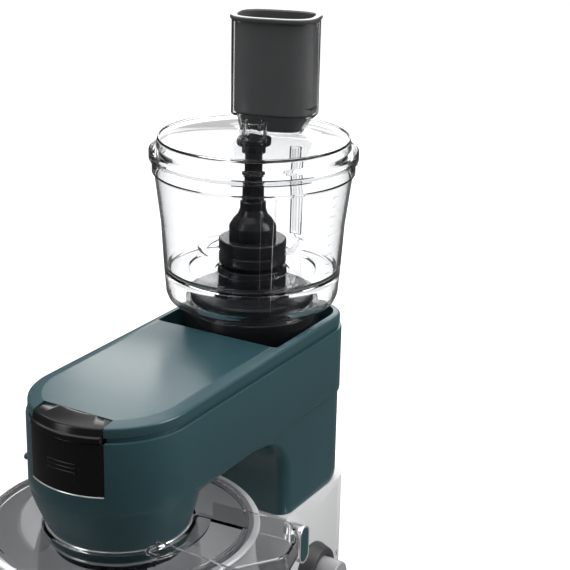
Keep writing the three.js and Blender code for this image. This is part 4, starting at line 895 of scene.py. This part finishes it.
def release_lever():
    """Bright paddle on its shaft, with a coloured inlay in its face."""
    paddle = prism_y("lever_paddle", paddle_plan(0), LEVER_FACE, LEVER_BACK)
    cut(paddle, prism_y("inlay_room", paddle_plan(2), LEVER_FACE - 1, LEVER_FACE + 1.5))
    soften(paddle, 0.5, 3, 50)
    shaft = [(0, -92), (3, -92), (3, 17), (0, 17)]
    join(paddle, lathe("lever_shaft", shaft, LEVER.x, LEVER.z, 32, "y", -BASE_HALF))
    finish(paddle, CHROME, "release_lever", ["release_lever"])
    inlay = prism_y("lever_inlay_skin", paddle_plan(2.4), LEVER_FACE - 0.2, LEVER_FACE + 1.1)
    soften(inlay, 0.4)
    finish(inlay, TEAL, "release_lever", ["lever_inlay"])

# ------------------------------------------------------------------ mixing bowl and guard


def mixing_bowl():
    """Turned steel bowl with a rolled rim and a foot ring."""
    low = BOWL_FLOOR
    rim = BOWL_RIM
    outer = [(70, low, 6), (95, low + 8, 14), (112, low + 28, 20), (121, low + 59, 30), (126.5, low + 114, 30),
             (128, rim - 4), (132, rim - 4, 0.6), (133, rim - 2, 0.8), (132, rim, 0.8)]
    inner = [(126.4, rim, 0.8), (124.9, low + 114, 30), (119.4, low + 59.4, 30), (110.4, low + 29, 20),
             (94, low + 9.6, 14), (70, low + 1.6, 6)]
    profile = rounded([(0, low)] + outer + inner + [(0, low + 1.6)], 5)
    bowl = lathe("mixing_bowl_skin", profile, NOSE_AXIS_X, 0, 128)
    foot = lathe("bowl_foot", rounded([
        (51, DECK + 2.1), (56, DECK + 2.1, 0.6), (56, low + 0.5), (51, low + 0.5),
    ]), NOSE_AXIS_X, 0, 128)
    join(bowl, foot)
    finish(bowl, BRUSHED, "mixing_bowl", ["mixing_bowl"])


def chute_plan(inset):
    """Plan of the guard's filling chute, shrunk towards its centre."""
    centre = Vector(GUARD_CHUTE_CENTRE)
    corners = []
    for x, y, radius in reversed(GUARD_CHUTE_CORNERS):
        away = (Vector((x, y)) - centre) * (1 - inset / GUARD_CHUTE_HALF)
        corners.append((centre.x + away.x, centre.y + away.y, max(radius - inset, 1)))
    return outline(corners, 10)


def splash_guard():
    """Clear disc over the bowl with a skirt round the tool, and the filling chute at its near side."""
    top = GUARD_TOP
    wall = GUARD_WALL
    low = top - wall
    collar = NOSE_RING_R + 1.7
    disc = lathe("guard_disc", rounded([
        (collar, top, 0.4), (collar, low), (76, -178, 0.4), (78.2, -178, 0.6), (collar + 2.6, low, 1),
        (119.8, low, 0.4), (119.8, low - 6), (122, low - 6, 0.6), (122, top, 1),
    ]), NOSE_AXIS_X, 0, 128)
    tub = loft("tub", [
        (low, chute_plan(1)), (low + 0.6, chute_plan(0.2)), (low + 1.4, chute_plan(0)),
        (-113.6, chute_plan(0)), (-113, chute_plan(0.5)),
    ])
    cut(tub, prism("tub_room", chute_plan(wall), low + wall, -112))
    cut(tub, prism("nose_room", circle(NOSE_AXIS_X, 0, HEAD_HALF + 8, 128), -128, -100))
    cut(tub, prism("throat", circle(NOSE_AXIS_X, 0, collar, 128), -200, -100))
    join(disc, tub)
    drop = prism("drop", chute_plan(wall), low - 1, top + 1)
    common(drop, prism("inside", circle(NOSE_AXIS_X, 0, 118, 128), -200, -100))
    cut(drop, prism("nose_side", circle(NOSE_AXIS_X, 0, HEAD_HALF + 6, 128), -200, -100))
    cut(disc, drop)
    finish(disc, SMOKE, "splash_guard", ["splash_guard"])

# ------------------------------------------------------------------ processor


def adapter_base():
    """Black foot of the processor, standing in the recess."""
    adapter = lathe("adapter_skin", rounded([
        (65.5, RECESS_FLOOR + 0.5), (68.5, RECESS_FLOOR + 0.5, 0.6), (68.5, -2), (67.5, 10, 1.6), (63, 10),
        (63, 24), (61, 26, 1), (37, 30, 2), (35, 53, 1.6), (17, 53), (17, 50), (32, 50), (34, 27), (60, 22),
        (60, 7), (65.5, 6),
    ]))
    finish(adapter, BLACK, "processor", ["adapter_base"])


def turned_box(name, radius, angle, depth, width, low, high):
    """A small upright block standing at that radius and angle about the processor's axis."""
    along = Vector((math.cos(angle), math.sin(angle)))
    across = Vector((-along.y, along.x))
    points = []
    for a, b in ((-0.5, -0.5), (0.5, -0.5), (0.5, 0.5), (-0.5, 0.5)):
        points.append(along * (radius + a * depth) + across * (b * width))
    return prism(name, points, low, high)


def wall_radius(z):
    """Outer radius of the clear bowl's wall at that height."""
    for (z0, r0), (z1, r1) in zip(BOWL_WALL, BOWL_WALL[1:]):
        if z <= z1:
            return r0 + (r1 - r0) * (z - z0) / (z1 - z0)
    return BOWL_WALL[-1][1]


def processor_bowl():
    """Clear bowl with its collar, a lug on the rim, two ribs, measuring ticks and the rod's channel."""
    lug = turned_box("rim_lug", 103.2, -0.9, 3, 14, 156, 163)
    soften(lug, 0.8)
    finish(lug, CLEAR, "processor")
    bowl = lathe("clear_bowl", rounded([
        (63.5, 10.4), (67.3, 10.4, 0.6), (67.5, 18, 0.8), (80, 18, 3), (85.5, 20.5, 3), (88, 27, 3),
        (90, 50, 20), (93, 99, 40), (99.5, 151, 1.2), (102, 153, 0.8), (102, 168.6, 1), (99.2, 168.6, 1),
        (99.2, 154, 1), (96.7, 151, 2), (90.2, 99, 40), (87.2, 56, 3), (84, 51, 2), (66, 50, 2),
        (64, 48.5, 1), (38, 48.5), (38, 46), (84, 48, 1), (87, 45, 2), (85.2, 28, 3), (79, 21, 2),
        (63.5, 21),
    ]), steps=160)
    finish(bowl, CLEAR, "processor", ["processor_bowl"])
    right = math.atan2(-0.8533, 0.5215)
    front = right - math.pi / 2
    for offset in (8, 20):
        angle = front + math.asin(offset / 95)
        rib = loft(f"bowl_rib_{offset}", [
            (z, [Vector((math.cos(angle), math.sin(angle))) * (wall_radius(z) + a)
                 + Vector((-math.sin(angle), math.cos(angle))) * b
                 for a, b in ((-0.3, -0.8), (0.7, -0.8), (0.7, 0.8), (-0.3, 0.8))])
            for z in (28, 50, 75, 99, 125, 150)
        ])
        finish(rib, CLEAR, "processor")
    graduation(front + 0.95)
    channel()


def graduation(angle):
    """Raised measuring ticks up the bowl's side, with no figures."""
    for k in range(9):
        z = 62 + 10 * k
        width = 9 if k % 2 == 0 else 5
        tick = turned_box(f"tick_{k}", wall_radius(z) + 0.15, angle, 0.7, width, z - 0.4, z + 0.4)
        finish(tick, CLEAR, "processor")


def channel():
    """Channel on the bowl's rear wall, where the interlock rod stands."""
    box = block("rod_channel", 86, 91.5, -6.5, 6.5, 62, 150)
    soften(box, 1, 3)
    cut(box, block("channel_room", 83, 89, -4, 4, 64, 148))
    cut(box, prism("bowl_room", circle(0, 0, 87.6, 128), 50, 160))
    finish(box, CLEAR, "processor")


def squared(value):
    """Pushes a share of a circle outwards, towards the square round it."""
    return math.copysign(abs(value) ** (2 / CHUTE_SQUARENESS), value)


def oval(inset):
    """The chute's plan: a rounded oblong turned about its centre."""
    long, short, turn = CHUTE_LONG - inset, CHUTE_SHORT - inset, CHUTE_TURN
    points = []
    for p in circle(0, 0, 1, 2 * FINE):
        x, y = squared(p.x) * long, squared(p.y) * short
        points.append(Vector((CHUTE_CENTRE[0] + x * math.cos(turn) - y * math.sin(turn),
                              CHUTE_CENTRE[1] + x * math.sin(turn) + y * math.cos(turn))))
    return points


def neck(name, inset, low, high):
    """The neck under the chute: it narrows down to the lid, drawn inwards from its outer face."""
    steps = 4
    sections = []
    for k in range(steps + 1):
        z = low + (high - low) * k / steps
        share = (z - LID_TOP) / (CHUTE_STEP - LID_TOP)
        shift = NECK_LOW[1] + (NECK_HIGH[1] - NECK_LOW[1]) * share
        away = Vector((math.cos(CHUTE_TURN), math.sin(CHUTE_TURN))) * shift
        narrower = NECK_LOW[0] + (NECK_HIGH[0] - NECK_LOW[0]) * share
        sections.append((z, [p + away for p in oval(narrower + inset)]))
    return loft(name, sections)


def processor_lid():
    """Clear lid with its flange, the neck and the feed chute, and the slotted boss in the middle."""
    top = LID_TOP
    lid = lathe("clear_lid", rounded([
        (0, top), (93.8, top), (94.6, top + 1.4, 0.5), (95.9, top + 1.4, 0.5), (96.5, top, 0.4),
        (97.3, top - 9, 1), (103, top - 11, 1.2), (105, top - 12.5, 1), (105, 166, 0.8), (102.6, 166),
        (102.6, 169.1), (98.6, 169.1), (98.6, 162.6), (94.7, 162.6), (94.3, top - 2.2, 1), (0, top - 2.2),
    ]), steps=160)
    funnel = loft("funnel", [
        (203.8, oval(0.8)), (204.4, oval(0.2)), (205, oval(0)), (298, oval(0)),
    ])
    boss = lathe("boss", rounded([
        (9.5, top - 0.5), (12.5, top - 0.5), (12.5, top + 15, 0.6), (9.5, top + 15, 0.6),
    ]), steps=64)
    for k in range(6):
        angle = 2 * math.pi * k / 6
        cut(boss, turned_box("slot", 11, angle, 6, 3, top + 10, top + 16))
    join(lid, neck("neck", 0, top - 2.2, CHUTE_STEP + 0.5), funnel)
    cut(lid, prism("chute_room", oval(CHUTE_WALL), CHUTE_STEP, 299))
    cut(lid, neck("neck_room", CHUTE_WALL, top - 4, CHUTE_STEP + 1))
    join(lid, boss)
    finish(lid, CLEAR, "lid", ["processor_lid"])


def lid_bearing():
    """Bearing tube under the lid, which the spindle's tip runs in."""
    top = 184.4
    bearing = lathe("lid_bearing_skin", rounded([
        (9.5, LID_TOP - 23, 0.4), (12.2, LID_TOP - 23, 0.8), (12.2, top - 9, 1), (16.5, top - 9, 0.8),
        (17.5, top - 7, 0.6), (17.5, top, 0.6), (0, top), (0, 180), (9.5, 180),
    ]), steps=64)
    cut(bearing, neck("neck_room", -1, top - 20, top + 1))
    finish(bearing, BLACK, "lid", ["lid_bearing"])


def food_pusher():
    """Hollow pusher that fills the neck and the chute, with a rolled rim."""
    rim = 298.4
    cup = neck("pusher_cup", PUSHER_GAP, LID_TOP + 1, 207.1)
    join(cup, loft("pusher_body", [
        (206.6, oval(4)), (207.2, oval(3.4)), (208.2, oval(PUSHER_GAP)), (rim + 1, oval(PUSHER_GAP)),
    ]))
    join(cup, loft("pusher_rim", [
        (rim, oval(0.4)), (rim + 0.4, oval(-0.3)), (rim + 1.4, oval(-1.1)), (rim + 2.6, oval(-1.5)),
        (rim + 4.2, oval(-1.3)), (rim + 5, oval(-0.4)),
    ]))
    cut(cup, neck("cup_foot_room", PUSHER_INSIDE, 190.5, 214), loft("cup_room", [
        (209.1, oval(PUSHER_INSIDE)), (rim + 3.6, oval(PUSHER_INSIDE)), (rim + 4.6, oval(5)),
        (rim + 6, oval(4)),
    ]))
    finish(cup, PUSHER, "pusher", ["food_pusher"])


def drive_spindle():
    """Stepped spindle with its six-sided socket, and the blades' hub on it."""
    spindle = lathe("spindle_skin", rounded([
        (0, -10), (12.5, -10, 0.6), (12.5, 57.5), (21.4, 59.5), (21.4, 82.6), (24, 82.6, 0.4), (24, 95, 3),
        (20, 102, 3), (15.5, 107, 3), (13.2, 113, 3), (13, 121, 0.6), (11, 121.8, 0.4), (11, 136, 0.8),
        (9, 137, 0.4), (9, 179, 1), (0, 179),
    ]), steps=72)
    socket = circle(0, 0, 7.9 / math.cos(math.pi / 6), 6)
    cut(spindle, prism("dog_socket", socket, -11, 6))
    finish(spindle, BLACK, "spindle", ["drive_spindle"])
    hub = lathe("blade_hub_skin", rounded([
        (21.8, 55.5), (32.4, 55.5, 1), (34.4, 57.5, 1), (34.4, 66, 0.5), (33.4, 67, 0.5), (33.4, 70, 0.5),
        (34.4, 71, 0.5), (34.4, 81, 1), (33.4, 82, 1), (21.8, 82),
    ]), steps=72)
    finish(hub, BLACK, "spindle", ["blade_hub"])


def blade(name, low, turn):
    """Sickle blade whose outer edge thins to a cutting bevel."""
    root = 34.8
    tip = 70
    steps = 28
    top_edge, outer_edge, inner_edge = [], [], []
    for k in range(steps + 1):
        t = k / steps
        outer = turn + 1.35 * t
        inner = turn + 0.5 + 0.85 * t
        outer_r = root + (tip - root) * t ** 0.75
        inner_r = root + (tip - 0.6 - root) * t ** 1.25
        outer_edge.append((outer_r * math.cos(outer), outer_r * math.sin(outer)))
        inner_edge.append((inner_r * math.cos(inner), inner_r * math.sin(inner)))
        top_edge.append(tuple(0.62 * a + 0.38 * b for a, b in zip(outer_edge[-1], inner_edge[-1])))
    verts, faces = [], []
    for (ox, oy), (mx, my), (ix, iy) in zip(outer_edge, top_edge, inner_edge):
        verts += [(ox, oy, low + 0.05), (mx, my, low + 1.2), (ix, iy, low + 1.2), (ix, iy, low), (ox, oy, low)]
    for k in range(steps):
        a, b = 5 * k, 5 * (k + 1)
        for j in range(5):
            n = (j + 1) % 5
            faces.append((a + j, a + n, b + n, b + j))
    faces.append((0, 1, 2, 3, 4))
    faces.append(tuple(5 * steps + j for j in range(5)))
    obj = outward(new_object(name + "_skin", verts, faces))
    finish(obj, BLADE, "spindle", [name], 20)

# ------------------------------------------------------------------ build

head_shell()
top_cover()
front_cap()
front_door()
nose_rings()
outlet_well()
lock_button()
tool()
planet_carrier()
base_housing()
bowl_seat()
controls()
release_lever()
mixing_bowl()
splash_guard()
adapter_base()
processor_bowl()
processor_lid()
lid_bearing()
food_pusher()
drive_spindle()
blade("blade_upper", 78.6, math.radians(95))
blade("blade_lower", 68, math.radians(275))

# ------------------------------------------------------------------ nodes kept from the frame

KEPT = {
    STEEL: ["tilt_frame", "latch_keeper", "chassis_plate", "ring_gear", "motor_rotor", "motor_shaft",
            "carrier_shaft", "bevel_wheel", "planet_pinion", "front_outlet_shaft", "hinge_bracket_left",
            "hinge_bracket_right", "tilt_pin", "latch_hook"],
    DARK: ["front_outlet_collar", "motor_fan", "drive_pulley", "top_coupling", "driven_pulley",
           "bottom_plate"],
    RUBBER: ["drive_belt"],
    FOOT: ["foot_rear_left", "foot_rear_right", "foot_front_left", "foot_front_right", "cord_gland"],
    COPPER: ["motor_stator"],
    BOARD: ["control_board"],
    RED: ["knob_pointer"],
    CLEAR: ["interlock_rod"],
}


def dress_kept_nodes():
    for material, names in KEPT.items():
        for name in names:
            node = frame["nodes"][name]
            node.data.materials.clear()
            node.data.materials.append(material)
            bevel = node.modifiers.new("edges", "BEVEL")
            bevel.width = 0.3 * MM
            bevel.segments = 2
            bevel.limit_method = "ANGLE"


dress_kept_nodes()

# ------------------------------------------------------------------ stage and light


def make_stage():
    """A pale floor that is white to look at, and throws little light back onto the object."""
    half = 40
    mesh = bpy.data.meshes.new("floor")
    corners = [(-half, -half, 0), (half, -half, 0), (half, half, 0), (-half, half, 0)]
    mesh.from_pydata(corners, [], [(0, 1, 2, 3)])
    floor = bpy.data.objects.new("floor", mesh)
    bpy.context.scene.collection.objects.link(floor)
    shader = Shader("floor_white", (0.35, 0.35, 0.35), roughness=0.9)
    shader.tint(shader.noise(2), 0.98, 1.02)
    shader.main.inputs["Emission Color"].default_value = (1, 1, 1, 1)
    shader.main.inputs["Emission Strength"].default_value = 0.9
    nodes, links = shader.tree.nodes, shader.tree.links
    dull = nodes.new("ShaderNodeBsdfDiffuse")
    dull.inputs["Color"].default_value = (0.1, 0.1, 0.1, 1)
    path = nodes.new("ShaderNodeLightPath")
    turned = nodes.new("ShaderNodeMath")
    turned.operation = "SUBTRACT"
    links.new(path.outputs["Ray Depth"], turned.inputs[0])
    links.new(path.outputs["Transmission Depth"], turned.inputs[1])
    reflected = nodes.new("ShaderNodeMath")
    reflected.operation = "GREATER_THAN"
    reflected.inputs[1].default_value = 0.5
    links.new(turned.outputs["Value"], reflected.inputs[0])
    mix = nodes.new("ShaderNodeMixShader")
    links.new(reflected.outputs["Value"], mix.inputs["Fac"])
    links.new(shader.main.outputs["BSDF"], mix.inputs[1])
    links.new(dull.outputs["BSDF"], mix.inputs[2])
    links.new(mix.outputs["Shader"], nodes["Material Output"].inputs["Surface"])
    mesh.materials.append(shader.material)


def area_light(name, at, aim, size, power):
    data = bpy.data.lights.new(name, "AREA")
    data.shape = "RECTANGLE"
    data.size, data.size_y = size
    data.energy = power
    light = bpy.data.objects.new(name, data)
    light.location = at
    light.rotation_mode = "QUATERNION"
    light.rotation_quaternion = (Vector(aim) - Vector(at)).to_track_quat("-Z", "Y")
    bpy.context.scene.collection.objects.link(light)
    return light


def make_light():
    world = bpy.data.worlds.new("studio")
    world.use_nodes = True
    background = world.node_tree.nodes["Background"]
    background.inputs["Color"].default_value = (1, 1, 1, 1)
    background.inputs["Strength"].default_value = 0.2
    bpy.context.scene.world = world
    middle = (0, 0, 0.3)
    area_light("overhead", (0.3, 0.4, 2.6), middle, (3.4, 3.4), 85)
    area_light("left_front", (-2.3, 1.4, 1.6), middle, (0.9, 1.8), 26)
    area_light("right_side", (1.0, -2.4, 1.5), middle, (1.2, 1.6), 60)
    area_light("rear", (2.4, 1.2, 1.4), middle, (1.6, 1.6), 22)


make_stage()
make_light()
bpy.context.scene.view_settings.view_transform = "Standard"
